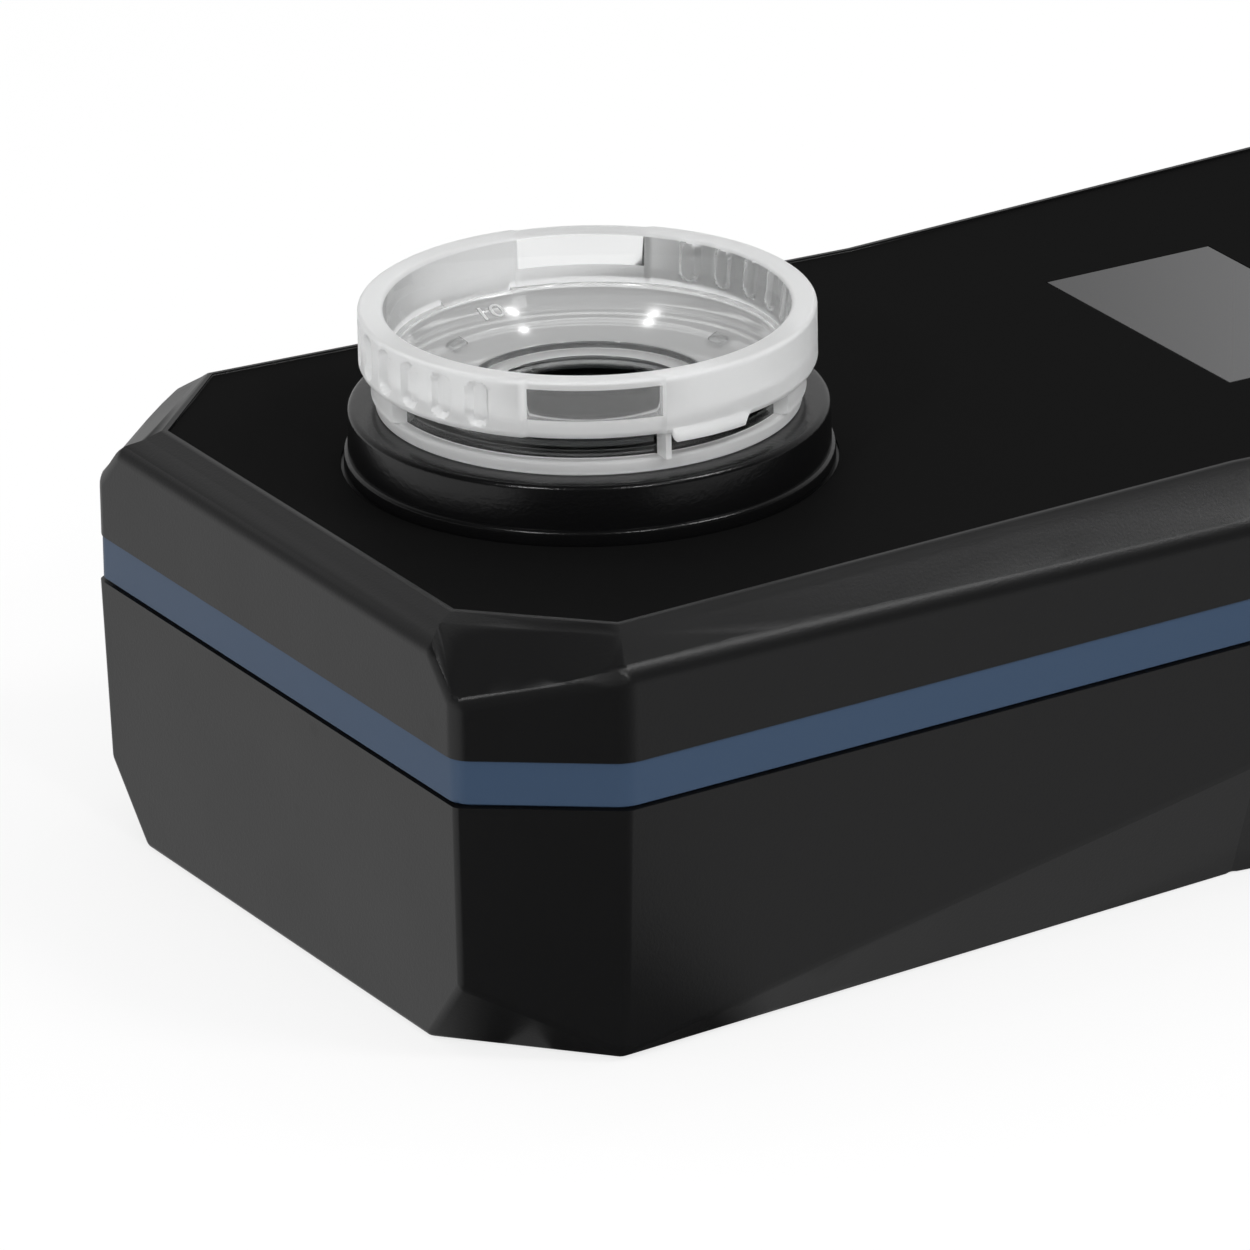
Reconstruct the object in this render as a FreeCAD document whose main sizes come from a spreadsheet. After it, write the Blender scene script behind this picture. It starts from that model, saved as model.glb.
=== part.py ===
import FreeCAD, Part
import math
import os

import Sketcher

# Handheld photometer lying on its back, in millimetres.
# +Z is up, +Y points to the head with the cuvette, +X is the reader's right.
# The origin is on the table, under the middle of the housing.

SIZES = {
    # housing, seen from above
    "body_length": 167.0,
    "body_width": 89.0,
    "end_width": 69.9,
    "corner_length": 13.4,
    "waist_width": 81.6,
    "waist_setback": 3.0,
    # housing, seen from the side
    "lower_height": 26.1,
    "shadow_gap": 0.4,
    "shadow_depth": 0.9,
    "band_height": 4.4,
    "band_inset": 0.15,
    "band_reach": 3.0,
    "label_level": 42.8,
    "lip_rise": 0.2,
    "lip_width": 0.6,
    "lip_slope_width": 0.95,
    "lip_slope_drop": 0.7,
    "end_lip_slope_width": 1.5,
    # creases where the top bevel leaves the wall
    "end_crease_width": 61.2,
    "end_crease_level": 41.2,
    "corner_crease_level": 36.7,
    "shoulder_crease_level": 39.75,
    "waist_crease_level": 38.2,
    # underside of the lower shell
    "side_draft": 1.55,
    "end_draft": 0.6,
    "base_end_width": 55.6,
    "base_shoulder_width": 84.2,
    "base_waist_width": 70.2,
    "corner_cut_level": 7.5,
    "hull_shoulder_level": 0.8,
    "hull_waist_level": 13.2,
    # walls
    "wall": 2.4,
    "floor_wall": 2.2,
    "top_wall": 2.1,
    "shoulder_wall": 5.6,
    "step_level": 36.0,
    "base_step_level": 14.5,
    "base_wall": 3.2,
    # front label
    "label_end_width": 55.8,
    "label_setback": 4.45,
    "label_width": 78.3,
    "label_corner_length": 11.15,
    "label_waist_width": 70.2,
    "label_thickness": 0.3,
    "label_gap": 0.1,
    "label_ring_gap": 0.3,
    # display
    "window_width": 33.5,
    "window_length": 19.0,
    "window_from_tail": 59.3,
    "window_thickness": 1.8,
    "window_ledge": 1.6,
    "window_gap": 0.15,
    "panel_margin": 1.6,
    "panel_thickness": 1.8,
    "panel_gap": 0.2,
    "backlight_thickness": 3.2,
    "backlight_gap": 0.4,
    "bezel_wall": 1.6,
    "bezel_gap": 0.1,
    "strip_width": 2.0,
    "strip_inset": 1.0,
    # keys
    "key_width": 13.0,
    "key_length": 8.0,
    "key_round": 2.2,
    "key_proud": 0.8,
    "key_travel": 0.6,
    "key_gap": 0.25,
    "key_flange": 0.9,
    "key_flange_thickness": 0.9,
    "key_column_pitch": 20.5,
    "key_row_pitch": 13.0,
    "last_keys_from_tail": 20.0,
    "key_flange_gap": 0.1,
    "mat_thickness": 0.8,
    "dome_radius": 3.0,
    "dome_gap": 0.1,
    # main board
    "board_thickness": 1.6,
    "board_width": 57.0,
    "board_block_gap": 5.4,
    "board_shoulder_from_middle": 6.5,
    "board_tail_setback": 7.5,
    "board_post_radius": 2.6,
    "board_screw_inset": 3.6,
    "processor_side": 10.0,
    "memory_width": 5.0,
    "memory_length": 6.0,
    "supply_width": 6.0,
    "supply_length": 4.0,
    "chip_offset": 14.0,
    "chip_height": 1.4,
    # collar and cuvette
    "cup_from_end": 35.55,
    "collar_radius": 23.4,
    "collar_flange_radius": 23.8,
    "collar_flange_height": 1.7,
    "collar_height": 6.2,
    "collar_round": 0.6,
    "collar_bore": 19.6,
    "spigot_radius": 21.6,
    "spigot_gap": 0.1,
    "spigot_depth": 4.2,
    "gasket_width": 1.9,
    "gasket_thickness": 0.5,
    "nut_width": 3.0,
    "neck_gap": 0.3,
    "neck_depth": 6.6,
    "neck_wall": 2.6,
    "seal_section": 1.4,
    "seal_gap": 0.05,
    "seal_groove_gap": 0.15,
    "cup_flange_radius": 20.6,
    "cup_flange_height": 1.4,
    "cup_groove_height": 2.7,
    "cup_groove_depth": 0.9,
    "grip_radius": 22.15,
    "grip_height": 5.9,
    "rim_wall": 2.4,
    "bowl_floor_radius": 18.8,
    "bowl_floor_rise": 4.6,
    "bowl_underside_rise": 1.7,
    "well_mouth_radius": 12.0,
    "well_mouth_rise": 1.5,
    "well_ledge_drop": 0.8,
    "well_radius": 10.2,
    "well_taper": 0.2,
    "well_depth": 29.8,
    "well_wall": 1.4,
    "edge_break": 0.3,
    "grip_slot_width": 2.1,
    "grip_slot_depth": 0.7,
    "grip_slot_length": 5.0,
    "grip_slot_count": 6,
    "grip_slot_angle": 11.0,
    "first_slot_angle": 121.2,
    # optical block
    "block_width": 54.0,
    "block_length": 42.0,
    "block_height": 12.0,
    "block_floor": 2.0,
    "sleeve_wall": 2.0,
    "block_bore_gap": 0.4,
    "block_screw_inset": 3.2,
    "port_radius": 2.5,
    "port_pitch": 7.5,
    "port_drop": 6.0,
    "sensor_board_length": 30.0,
    "sensor_board_height": 9.0,
    "sensor_board_thickness": 1.2,
    "emitter_radius": 2.4,
    "emitter_length": 5.0,
    # battery bay
    "cell_radius": 5.25,
    "cell_length": 44.5,
    "cell_pitch": 11.6,
    "cell_clearance": 0.35,
    "cell_tip_radius": 1.9,
    "cell_tip_length": 0.9,
    "contact_thickness": 0.4,
    "contact_height": 8.0,
    "spring_length": 3.0,
    "leaf_thickness": 0.35,
    "leaf_width": 5.0,
    "leaf_height": 5.6,
    "leaf_foot": 0.8,
    "leaf_gap": 0.1,
    "bay_wall": 1.6,
    "bay_from_tail": 37.5,
    "cover_thickness": 2.0,
    "cover_seal_thickness": 0.8,
    "cover_seal_width": 1.0,
    "cover_seal_inset": 0.3,
    "cover_margin": 4.6,
    "cover_gap": 0.15,
    "cover_screw_inset": 2.3,
    # screws
    "housing_screw_radius": 1.4,
    "housing_screw_head": 2.7,
    "housing_screw_head_height": 1.8,
    "housing_boss_radius": 4.0,
    "housing_post_radius": 3.6,
    "housing_screw_seat": 9.0,
    "housing_screw_end": 35.5,
    "housing_screw_side_inset": 2.5,
    "housing_screw_end_setback": 19.0,
    "waist_screw_inset": 5.5,
    "screw_head_gap": 0.3,
    "thread_run_out": 1.0,
    "thread_spare": 0.4,
    "small_screw_radius": 0.95,
    "small_screw_head": 1.8,
    "small_screw_head_height": 1.2,
    "small_screw_length": 4.5,
    "screw_gap": 0.15,
}

doc = FreeCAD.newDocument("photometer")
sheet = doc.addObject("Spreadsheet::Sheet", "sizes")
for row, (word, number) in enumerate(SIZES.items(), start=1):
    sheet.set(f"A{row}", word)
    sheet.set(f"B{row}", str(number))
    sheet.setAlias(f"B{row}", word)
doc.recompute()


class Size:
    """A length worked out from the sheet: its value, and the formula that keeps it."""

    def __init__(self, value, formula):
        self.value = float(value)
        self.formula = formula

    def __add__(self, other):
        other = sized(other)
        return Size(self.value + other.value, f"({self.formula} + {other.formula})")

    def __sub__(self, other):
        other = sized(other)
        return Size(self.value - other.value, f"({self.formula} - {other.formula})")

    def __mul__(self, other):
        other = sized(other)
        return Size(self.value * other.value, f"({self.formula} * {other.formula})")

    def __truediv__(self, other):
        other = sized(other)
        return Size(self.value / other.value, f"({self.formula} / {other.formula})")

    def __rmul__(self, other):
        return sized(other) * self

    def __neg__(self):
        return Size(-self.value, f"(0 - {self.formula})")


def sized(number):
    """A plain number as a Size, and a Size as it is."""
    return number if isinstance(number, Size) else Size(number, repr(float(number)))


def diagonal(run, rise):
    """The length of a slanting line, from its two sides."""
    value = math.hypot(run.value, rise.value)
    return Size(value, f"sqrt({run.formula}^2 + {rise.formula}^2)")


class Drawing:
    """The named sizes of the sheet, each as a Size."""

    def __getattr__(self, word):
        return Size(sheet.get(word), "sizes." + word)


d = Drawing()
ZERO = sized(0)
pieces = []


def keep(thing, label):
    """Name a finished piece and put it on the list of pieces."""
    thing.Label = label
    pieces.append(thing)
    return thing


def bind(thing, path, length):
    """Tie one property of an object to its formula."""
    thing.setExpression(path, sized(length).formula)


def place(thing, x, y, z):
    """Tie an object's place to its formulas."""
    bind(thing, "Placement.Base.x", x)
    bind(thing, "Placement.Base.y", y)
    bind(thing, "Placement.Base.z", z)


def new_body(name):
    return doc.addObject("PartDesign::Body", name)


def new_sketch(body, plane, level=ZERO):
    """A sketch on one of the body's own origin planes, lifted to a level."""
    sketch = body.newObject("Sketcher::SketchObject", body.Name + "_sketch")
    base = [f for f in body.Origin.OriginFeatures if f.Role == plane][0]
    sketch.AttachmentSupport = [(base, "")]
    sketch.MapMode = "FlatFace"
    bind(sketch, "AttachmentOffset.Base.z", level)
    return sketch


def tie_point(sketch, edge, end, point):
    """Hold one end of an edge at a point worked out from the sheet."""
    for kind, length in zip(("DistanceX", "DistanceY"), point):
        length = sized(length)
        row = sketch.addConstraint(
            Sketcher.Constraint(kind, -1, 1, edge, end, length.value))
        sketch.setExpression(f"Constraints[{row}]", length.formula)


def draw_loop(sketch, points):
    """A closed outline of straight edges."""
    corners = [FreeCAD.Vector(sized(x).value, sized(y).value, 0) for x, y in points]
    first = sketch.GeometryCount
    count = len(corners)
    for i in range(count):
        sketch.addGeometry(Part.LineSegment(corners[i], corners[(i + 1) % count]))
    for i in range(count):
        after = first + (i + 1) % count
        sketch.addConstraint(Sketcher.Constraint("Coincident", first + i, 2, after, 1))
        tie_point(sketch, first + i, 1, points[i])


def draw_circle(sketch, centre, radius):
    middle = FreeCAD.Vector(sized(centre[0]).value, sized(centre[1]).value, 0)
    edge = sketch.addGeometry(Part.Circle(middle, FreeCAD.Vector(0, 0, 1), radius.value))
    tie_point(sketch, edge, 3, centre)
    row = sketch.addConstraint(Sketcher.Constraint("Radius", edge, radius.value))
    sketch.setExpression(f"Constraints[{row}]", radius.formula)


def pad(body, sketch, height):
    feature = body.newObject("PartDesign::Pad", body.Name + "_pad")
    feature.Profile = sketch
    bind(feature, "Length", height)
    body.Tip = feature
    return feature


def prism(name, loops, low, high, circles=()):
    """An upright body between two levels, from straight outlines and round holes."""
    body = new_body(name)
    sketch = new_sketch(body, "XY_Plane", low)
    for points in loops:
        draw_loop(sketch, points)
    for centre, radius in circles:
        draw_circle(sketch, centre, radius)
    pad(body, sketch, high - low)
    return body


def turned(name, profile, x=ZERO, y=ZERO, z=ZERO):
    """A turned body: a half section of radius and height, spun about an upright axis."""
    body = new_body(name)
    sketch = new_sketch(body, "XZ_Plane")
    draw_loop(sketch, profile)
    feature = body.newObject("PartDesign::Revolution", name + "_turn")
    feature.Profile = sketch
    feature.ReferenceAxis = (sketch, ["V_Axis"])
    feature.Angle = 360
    body.Tip = feature
    place(body, x, y, z)
    return body


def oblong(x, y, width, length):
    """The four corners of a rectangle about a point."""
    return [(x - width / 2, y - length / 2), (x + width / 2, y - length / 2),
            (x + width / 2, y + length / 2), (x - width / 2, y + length / 2)]


def block(name, x, y, width, length, low, high):
    """A plain box about a point, between two levels."""
    box = doc.addObject("Part::Box", name)
    bind(box, "Length", width)
    bind(box, "Width", length)
    bind(box, "Height", high - low)
    place(box, x - width / 2, y - length / 2, low)
    return box


def rod(name, x, y, low, high, radius):
    """An upright cylinder between two levels."""
    cylinder = doc.addObject("Part::Cylinder", name)
    bind(cylinder, "Radius", radius)
    bind(cylinder, "Height", high - low)
    place(cylinder, x, y, low)
    return cylinder


def lying_rod(name, x, y, z, length, radius, axis):
    """A cylinder that lies along X or Y, from its low end."""
    cylinder = doc.addObject("Part::Cylinder", name)
    turn = {"X": FreeCAD.Rotation(FreeCAD.Vector(0, 1, 0), 90),
            "Y": FreeCAD.Rotation(FreeCAD.Vector(1, 0, 0), -90)}[axis]
    cylinder.Placement = FreeCAD.Placement(FreeCAD.Vector(), turn)
    bind(cylinder, "Radius", radius)
    bind(cylinder, "Height", length)
    place(cylinder, x, y, z)
    return cylinder


def join(name, shapes):
    fused = doc.addObject("Part::MultiFuse", name)
    fused.Shapes = shapes
    return fused


def cut(name, base, tools):
    """A base with one or more tools taken away."""
    tool = tools[0] if len(tools) == 1 else join(name + "_tools", tools)
    taken = doc.addObject("Part::Cut", name)
    taken.Base = base
    taken.Tool = tool
    return taken


def group(name, shapes):
    """Separate solids that share one node."""
    together = doc.addObject("Part::Compound", name)
    together.Links = shapes
    return together


def round_edges(body, radius, chosen):
    """Round the edges of a body's last feature that a rule picks."""
    doc.recompute()
    base = body.Tip
    names = [f"Edge{i}" for i, edge in enumerate(base.Shape.Edges, start=1) if chosen(edge)]
    feature = body.newObject("PartDesign::Fillet", body.Name + "_round")
    feature.Base = (base, names)
    bind(feature, "Radius", radius)
    body.Tip = feature
    return feature


def upright(edge):
    """True for a straight edge that stands upright."""
    along = edge.Vertexes[-1].Point - edge.Vertexes[0].Point
    return abs(along.x) < 1e-6 and abs(along.y) < 1e-6 and abs(along.z) > 1e-6


# levels and places that several pieces share
half_length = d.body_length / 2
lower_top = d.lower_height
band_low = lower_top + d.shadow_gap
band_top = band_low + d.band_height
label_floor = d.label_level - d.label_thickness
ceiling = label_floor - d.top_wall
lip_top = d.label_level + d.lip_rise
cup_y = half_length - d.cup_from_end
window_y = d.window_from_tail - half_length
OVERSHOOT = 1.0    # how far a cutting shape passes the face that it opens
OVERLAP = 0.5      # how far a joined shape reaches into its neighbour


def waisted(end_half, end_y, shoulder_half, shoulder_y, waist_half):
    """A waisted outline with cut corners, symmetrical end to end but for its waist."""
    right = [(end_half, end_y), (shoulder_half, shoulder_y), (waist_half, -d.waist_setback),
             (shoulder_half, -shoulder_y), (end_half, -end_y)]
    return right + [(-x, y) for x, y in reversed(right)]


def housing_outline(inset):
    """The housing's outline, moved inwards by the same distance all round."""
    run = (d.body_width - d.end_width) / 2
    slant = diagonal(run, d.corner_length)
    across = d.corner_length / slant
    along = run / slant
    end_half = d.end_width / 2 - inset * (sized(1) - along) / across
    shoulder_y = half_length - d.corner_length - inset * (sized(1) - across) / along
    return waisted(end_half, half_length - inset, d.body_width / 2 - inset,
                   shoulder_y, d.waist_width / 2 - inset)


def label_outline(outset):
    """The label's outline, moved outwards by a small gap."""
    label_end = half_length - d.label_setback
    return waisted(d.label_end_width / 2 + outset / 2, label_end + outset,
                   d.label_width / 2 + outset, label_end - d.label_corner_length + outset / 3,
                   d.label_waist_width / 2 + outset)


def facet(*points):
    """A face through three or four corners, twisted where they don't lie flat."""
    corners = [FreeCAD.Vector(*point) for point in points]
    if len(corners) == 4:
        normal = (corners[1] - corners[0]).cross(corners[2] - corners[0]).normalize()
        if abs(normal.dot(corners[3] - corners[0])) > 1e-7:
            return Part.makeRuledSurface(Part.makeLine(corners[0], corners[1]),
                                         Part.makeLine(corners[3], corners[2]))
    return Part.Face(Part.makePolygon(corners + corners[:1]))


def four_ways(rows):
    """The same facets on both sides and at both ends; a row lists its corners at the head."""
    faces = []
    for side in (1, -1):
        for end in (1, -1):
            for row in rows:
                faces.append(facet(*[(side * x, y if fixed else end * y, z)
                                     for x, y, z, fixed in row]))
    return faces


def closed_form(name, faces):
    """A solid bounded by facets."""
    shell = Part.makeShell(faces)
    sewn = shell.copy()
    sewn.sewShape()
    solid = Part.makeSolid(sewn if sewn.ShapeType == "Shell" else sewn.Shells[0])
    if solid.Volume < 0:
        solid.reverse()
    form = doc.addObject("Part::Feature", name)
    form.Shape = solid
    form.Placement = FreeCAD.Placement()
    return form


def head_corner(x, y, z):
    return (x, y, z, False)


def waist_corner(x, z):
    return (x, -d.waist_setback.value, z, True)


def upper_form():
    """The upper half of the housing: upright walls, twisted bevel facets and a sloping lip."""
    end = half_length.value
    shoulder_y = end - d.corner_length.value
    low = band_top.value
    corner_x = d.end_width.value / 2
    shoulder_x = d.body_width.value / 2
    waist_x = d.waist_width.value / 2
    label_end = end - d.label_setback.value
    label_shoulder_y = label_end - d.label_corner_length.value
    slope = d.lip_width.value + d.lip_slope_width.value
    end_slope = d.lip_width.value + d.end_lip_slope_width.value
    rim = lip_top.value - d.lip_slope_drop.value
    top = lip_top.value
    wall_end = head_corner(0, end, low)
    wall_corner = head_corner(corner_x, end, low)
    wall_shoulder = head_corner(shoulder_x, shoulder_y, low)
    wall_waist = waist_corner(waist_x, low)
    crease_middle = head_corner(0, end, d.end_crease_level.value)
    crease_end = head_corner(d.end_crease_width.value / 2, end, d.end_crease_level.value)
    crease_corner = head_corner(corner_x, end, d.corner_crease_level.value)
    crease_shoulder = head_corner(shoulder_x, shoulder_y, d.shoulder_crease_level.value)
    crease_waist = waist_corner(waist_x, d.waist_crease_level.value)
    rim_middle = head_corner(0, label_end + end_slope, rim)
    rim_corner = head_corner(d.label_end_width.value / 2 + slope / 2, label_end + end_slope, rim)
    rim_shoulder = head_corner(d.label_width.value / 2 + slope, label_shoulder_y + slope / 3, rim)
    rim_waist = waist_corner(d.label_waist_width.value / 2 + slope, rim)
    lip = d.lip_width.value
    lip_middle = head_corner(0, label_end + lip, top)
    lip_corner = head_corner(d.label_end_width.value / 2 + lip / 2, label_end + lip, top)
    lip_shoulder = head_corner(d.label_width.value / 2 + lip, label_shoulder_y + lip / 3, top)
    lip_waist = waist_corner(d.label_waist_width.value / 2 + lip, top)
    rows = [
        (wall_end, wall_corner, crease_corner, crease_end, crease_middle),
        (wall_corner, wall_shoulder, crease_shoulder, crease_corner),
        (wall_shoulder, wall_waist, crease_waist, crease_shoulder),
        (crease_middle, crease_end, rim_corner, rim_middle),
        (crease_end, crease_corner, rim_corner),
        (crease_corner, crease_shoulder, rim_shoulder, rim_corner),
        (crease_shoulder, crease_waist, rim_waist, rim_shoulder),
        (rim_middle, rim_corner, lip_corner, lip_middle),
        (rim_corner, rim_shoulder, lip_shoulder, lip_corner),
        (rim_shoulder, rim_waist, lip_waist, lip_shoulder),
        (lip_middle, lip_corner, lip_shoulder, lip_waist, waist_corner(0, top)),
        (wall_end, wall_corner, wall_shoulder, wall_waist, waist_corner(0, low)),
    ]
    return closed_form("upper_form", four_ways(rows))


def lower_form():
    """The lower half: drafted walls, hull facets that deepen to the waist, cut corners."""
    end = half_length.value
    shoulder_y = end - d.corner_length.value
    top = lower_top.value
    corner_x = d.end_width.value / 2
    shoulder_x = d.body_width.value / 2
    waist_x = d.waist_width.value / 2

    def drafted(level, draft):
        return draft.value * (top - level) / top

    cut_level = d.corner_cut_level.value
    hull_shoulder = d.hull_shoulder_level.value
    hull_waist = d.hull_waist_level.value
    top_end = head_corner(0, end, top)
    top_corner = head_corner(corner_x, end, top)
    top_shoulder = head_corner(shoulder_x, shoulder_y, top)
    top_waist = waist_corner(waist_x, top)
    side_corner = head_corner(corner_x - drafted(cut_level, d.side_draft) / 2,
                              end - drafted(cut_level, d.end_draft), cut_level)
    side_shoulder = head_corner(shoulder_x - drafted(hull_shoulder, d.side_draft),
                                shoulder_y, hull_shoulder)
    side_waist = waist_corner(waist_x - drafted(hull_waist, d.side_draft), hull_waist)
    base_middle = head_corner(0, end - d.end_draft.value, 0)
    base_end = head_corner(d.base_end_width.value / 2, end - d.end_draft.value, 0)
    base_shoulder = head_corner(d.base_shoulder_width.value / 2, shoulder_y, 0)
    base_waist = waist_corner(d.base_waist_width.value / 2, 0)
    rows = [
        (top_end, top_corner, side_corner, base_end, base_middle),
        (top_corner, top_shoulder, side_shoulder, side_corner),
        (side_corner, side_shoulder, base_shoulder, base_end),
        (top_shoulder, top_waist, side_waist, side_shoulder),
        (side_shoulder, side_waist, base_waist, base_shoulder),
        (base_middle, base_end, base_shoulder, base_waist, waist_corner(0, 0)),
        (top_end, top_corner, top_shoulder, top_waist, waist_corner(0, top)),
    ]
    return closed_form("lower_form", four_ways(rows))


# places of the fasteners, as offsets that both shells share
housing_screw_places = [
    (d.end_width / 2 - d.housing_screw_side_inset, half_length - d.housing_screw_end_setback),
    (d.base_waist_width / 2 - d.waist_screw_inset, ZERO),
    (d.end_width / 2 - d.housing_screw_side_inset, d.housing_screw_end_setback - half_length),
]
housing_screw_places += [(-x, y) for x, y in housing_screw_places]
panel_top = ceiling - d.panel_gap
board_top = panel_top - d.panel_thickness - d.backlight_thickness
board_low = board_top - d.board_thickness
board_tail = d.board_tail_setback - half_length
board_shoulder = -d.board_shoulder_from_middle
board_head = cup_y - d.block_length / 2 - d.board_block_gap
board_screw_places = [
    (side * (d.board_width / 2 - d.board_screw_inset), y)
    for side in (1, -1)
    for y in (board_tail + d.board_screw_inset, board_shoulder - d.board_screw_inset)
]
block_screw_places = [
    (side * (d.block_width / 2 - d.block_screw_inset),
     cup_y + end * (d.block_length / 2 - d.block_screw_inset))
    for side in (1, -1)
    for end in (1, -1)
]
key_names = ["key_power", "key_up", "key_zero", "key_menu", "key_down", "key_test"]
last_keys_y = d.last_keys_from_tail - half_length
key_places = [
    (column * d.key_column_pitch, last_keys_y + row * d.key_row_pitch)
    for row in (1, 0)
    for column in (-1, 0, 1)
]
block_top = ceiling - d.nut_width
collar_low = label_floor
collar_top = collar_low + d.collar_height
seal_inner = d.collar_bore - d.seal_gap * 2 - d.seal_section
well_mouth = collar_top + d.well_mouth_rise
well_bottom = well_mouth - d.well_depth - d.well_wall
block_seat = block_top - d.block_height
bay_y = d.bay_from_tail - half_length
bay_width = d.cell_pitch * 2 + d.cell_radius * 2 + d.cell_clearance * 2
bay_length = d.cell_length + d.spring_length + d.contact_thickness * 2 + d.cell_clearance
cover_seat = d.cover_thickness + d.cover_seal_thickness
cell_level = cover_seat + d.cell_radius + d.cell_clearance
bay_ceiling = cell_level + d.cell_radius + d.cell_clearance
cover_width = bay_width + d.cover_margin * 2
cover_length = bay_length + d.cover_margin * 2
cover_screw_places = [
    (side * (cover_width / 2 - d.cover_screw_inset),
     bay_y + end * (cover_length / 2 - d.cover_screw_inset))
    for side in (1, -1)
    for end in (1, -1)
]


def make_lower_shell():
    form = lower_form()
    base_inset = d.base_wall
    low_room = prism("low_room", [waisted(
        d.base_end_width / 2 - base_inset / 2, half_length - base_inset,
        d.base_shoulder_width / 2 - base_inset, half_length - d.corner_length - base_inset / 3,
        d.base_waist_width / 2 - base_inset)], d.floor_wall, lower_top + OVERSHOOT)
    high_room = prism("high_room", [housing_outline(d.wall + d.side_draft)],
                      d.base_step_level, lower_top + OVERSHOOT)
    hollow = cut("lower_hollow", form, [low_room, high_room])
    bosses = [rod("lower_boss", x, y, d.floor_wall / 2, lower_top, d.housing_boss_radius)
              for x, y in housing_screw_places]
    bay_block = block("bay_block", ZERO, bay_y, bay_width + d.bay_wall * 2,
                      bay_length + d.bay_wall * 2, d.floor_wall / 2, bay_ceiling + d.bay_wall)
    cover_block = block("cover_block", ZERO, bay_y, cover_width + d.bay_wall * 2,
                        cover_length + d.bay_wall * 2, d.floor_wall / 2,
                        cover_seat + d.small_screw_length)
    solid = join("lower_solid", [hollow, bay_block, cover_block] + bosses)
    tools = [
        block("bay_room", ZERO, bay_y, bay_width, bay_length, cover_seat / 2, bay_ceiling),
        block("cover_recess", ZERO, bay_y, cover_width + d.cover_gap * 2,
              cover_length + d.cover_gap * 2, sized(-OVERSHOOT), cover_seat),
    ]
    for x, y in housing_screw_places:
        tools.append(rod("seat_hole", x, y, sized(-OVERSHOOT), d.housing_screw_seat,
                         d.housing_screw_head + d.screw_head_gap))
        tools.append(rod("shank_hole", x, y, ZERO, lower_top + OVERSHOOT,
                         d.housing_screw_radius + d.screw_gap))
    for x, y in cover_screw_places:
        tools.append(rod("cover_thread", x, y, ZERO,
                         cover_seat + d.small_screw_length - d.thread_run_out,
                         d.small_screw_radius))
    return keep(cut("lower_shell", solid, tools), "lower_shell")


def make_trim_band():
    inner = housing_outline(d.band_reach)
    foot = prism("band_foot", [housing_outline(d.shadow_depth), inner], lower_top, band_low)
    face = prism("band_face", [housing_outline(d.band_inset), inner], band_low, band_top)
    return keep(join("trim_band", [foot, face]), "trim_band")


def key_hole(name, x, y, low, high):
    """A rounded hole for a key, through a sheet between two levels."""
    hole = prism(name, [oblong(x, y, d.key_width + d.key_gap * 2, d.key_length + d.key_gap * 2)],
                 low, high)
    round_edges(hole, d.key_round + d.key_gap, upright)
    return hole


def make_upper_shell():
    form = upper_form()
    rooms = [
        prism("wall_room", [housing_outline(d.wall)], band_top - OVERSHOOT, d.step_level),
        prism("top_room", [housing_outline(d.shoulder_wall)], band_top - OVERSHOOT, ceiling),
        prism("label_recess", [label_outline(d.label_gap)], label_floor, lip_top + OVERSHOOT),
        rod("gasket_seat", ZERO, cup_y, label_floor - d.gasket_thickness, lip_top,
            d.spigot_radius + d.gasket_width + d.spigot_gap),
        rod("collar_hole", ZERO, cup_y, ZERO, lip_top, d.spigot_radius + d.spigot_gap),
        block("window_hole", ZERO, window_y, d.window_width + d.window_gap * 2,
              d.window_length + d.window_gap * 2, d.label_level - d.window_thickness, lip_top),
        block("window_sight", ZERO, window_y, d.window_width - d.window_ledge * 2,
              d.window_length - d.window_ledge * 2, ceiling - OVERSHOOT, lip_top),
    ]
    rooms += [key_hole("shell_key_hole", x, y, ceiling - OVERSHOOT, lip_top)
              for x, y in key_places]
    hollow = cut("upper_hollow", form, rooms)
    posts = [rod("screw_post", x, y, lower_top, ceiling + OVERLAP, d.housing_post_radius)
             for x, y in housing_screw_places]
    posts += [rod("board_post", x, y, board_top, ceiling + OVERLAP, d.board_post_radius)
              for x, y in board_screw_places]
    posts += [rod("block_post", x, y, block_top, ceiling + OVERLAP, d.board_post_radius)
              for x, y in block_screw_places]
    solid = join("upper_solid", [hollow] + posts)
    thread_top = d.small_screw_length - d.thread_run_out
    holes = [rod("post_hole", x, y, lower_top - OVERSHOOT,
                 d.housing_screw_end + d.thread_run_out, d.housing_screw_radius)
             for x, y in housing_screw_places]
    holes += [rod("board_hole", x, y, board_top - OVERSHOOT, board_top + d.small_screw_length,
                  d.small_screw_radius) for x, y in board_screw_places]
    holes += [rod("block_hole", x, y, block_top - OVERSHOOT, block_top + thread_top,
                  d.small_screw_radius) for x, y in block_screw_places]
    return keep(cut("upper_shell", solid, holes), "upper_shell")


def make_front_label():
    sheet_body = prism("label_sheet",
                       [label_outline(ZERO),
                        oblong(ZERO, window_y, d.window_width + d.window_gap * 2,
                               d.window_length + d.window_gap * 2)],
                       label_floor, d.label_level,
                       [((ZERO, cup_y), d.collar_flange_radius + d.label_ring_gap)])
    holes = [key_hole("label_key_hole", x, y, label_floor - OVERSHOOT,
                      d.label_level + OVERSHOOT) for x, y in key_places]
    return keep(cut("front_label", sheet_body, holes), "front_label")


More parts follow.
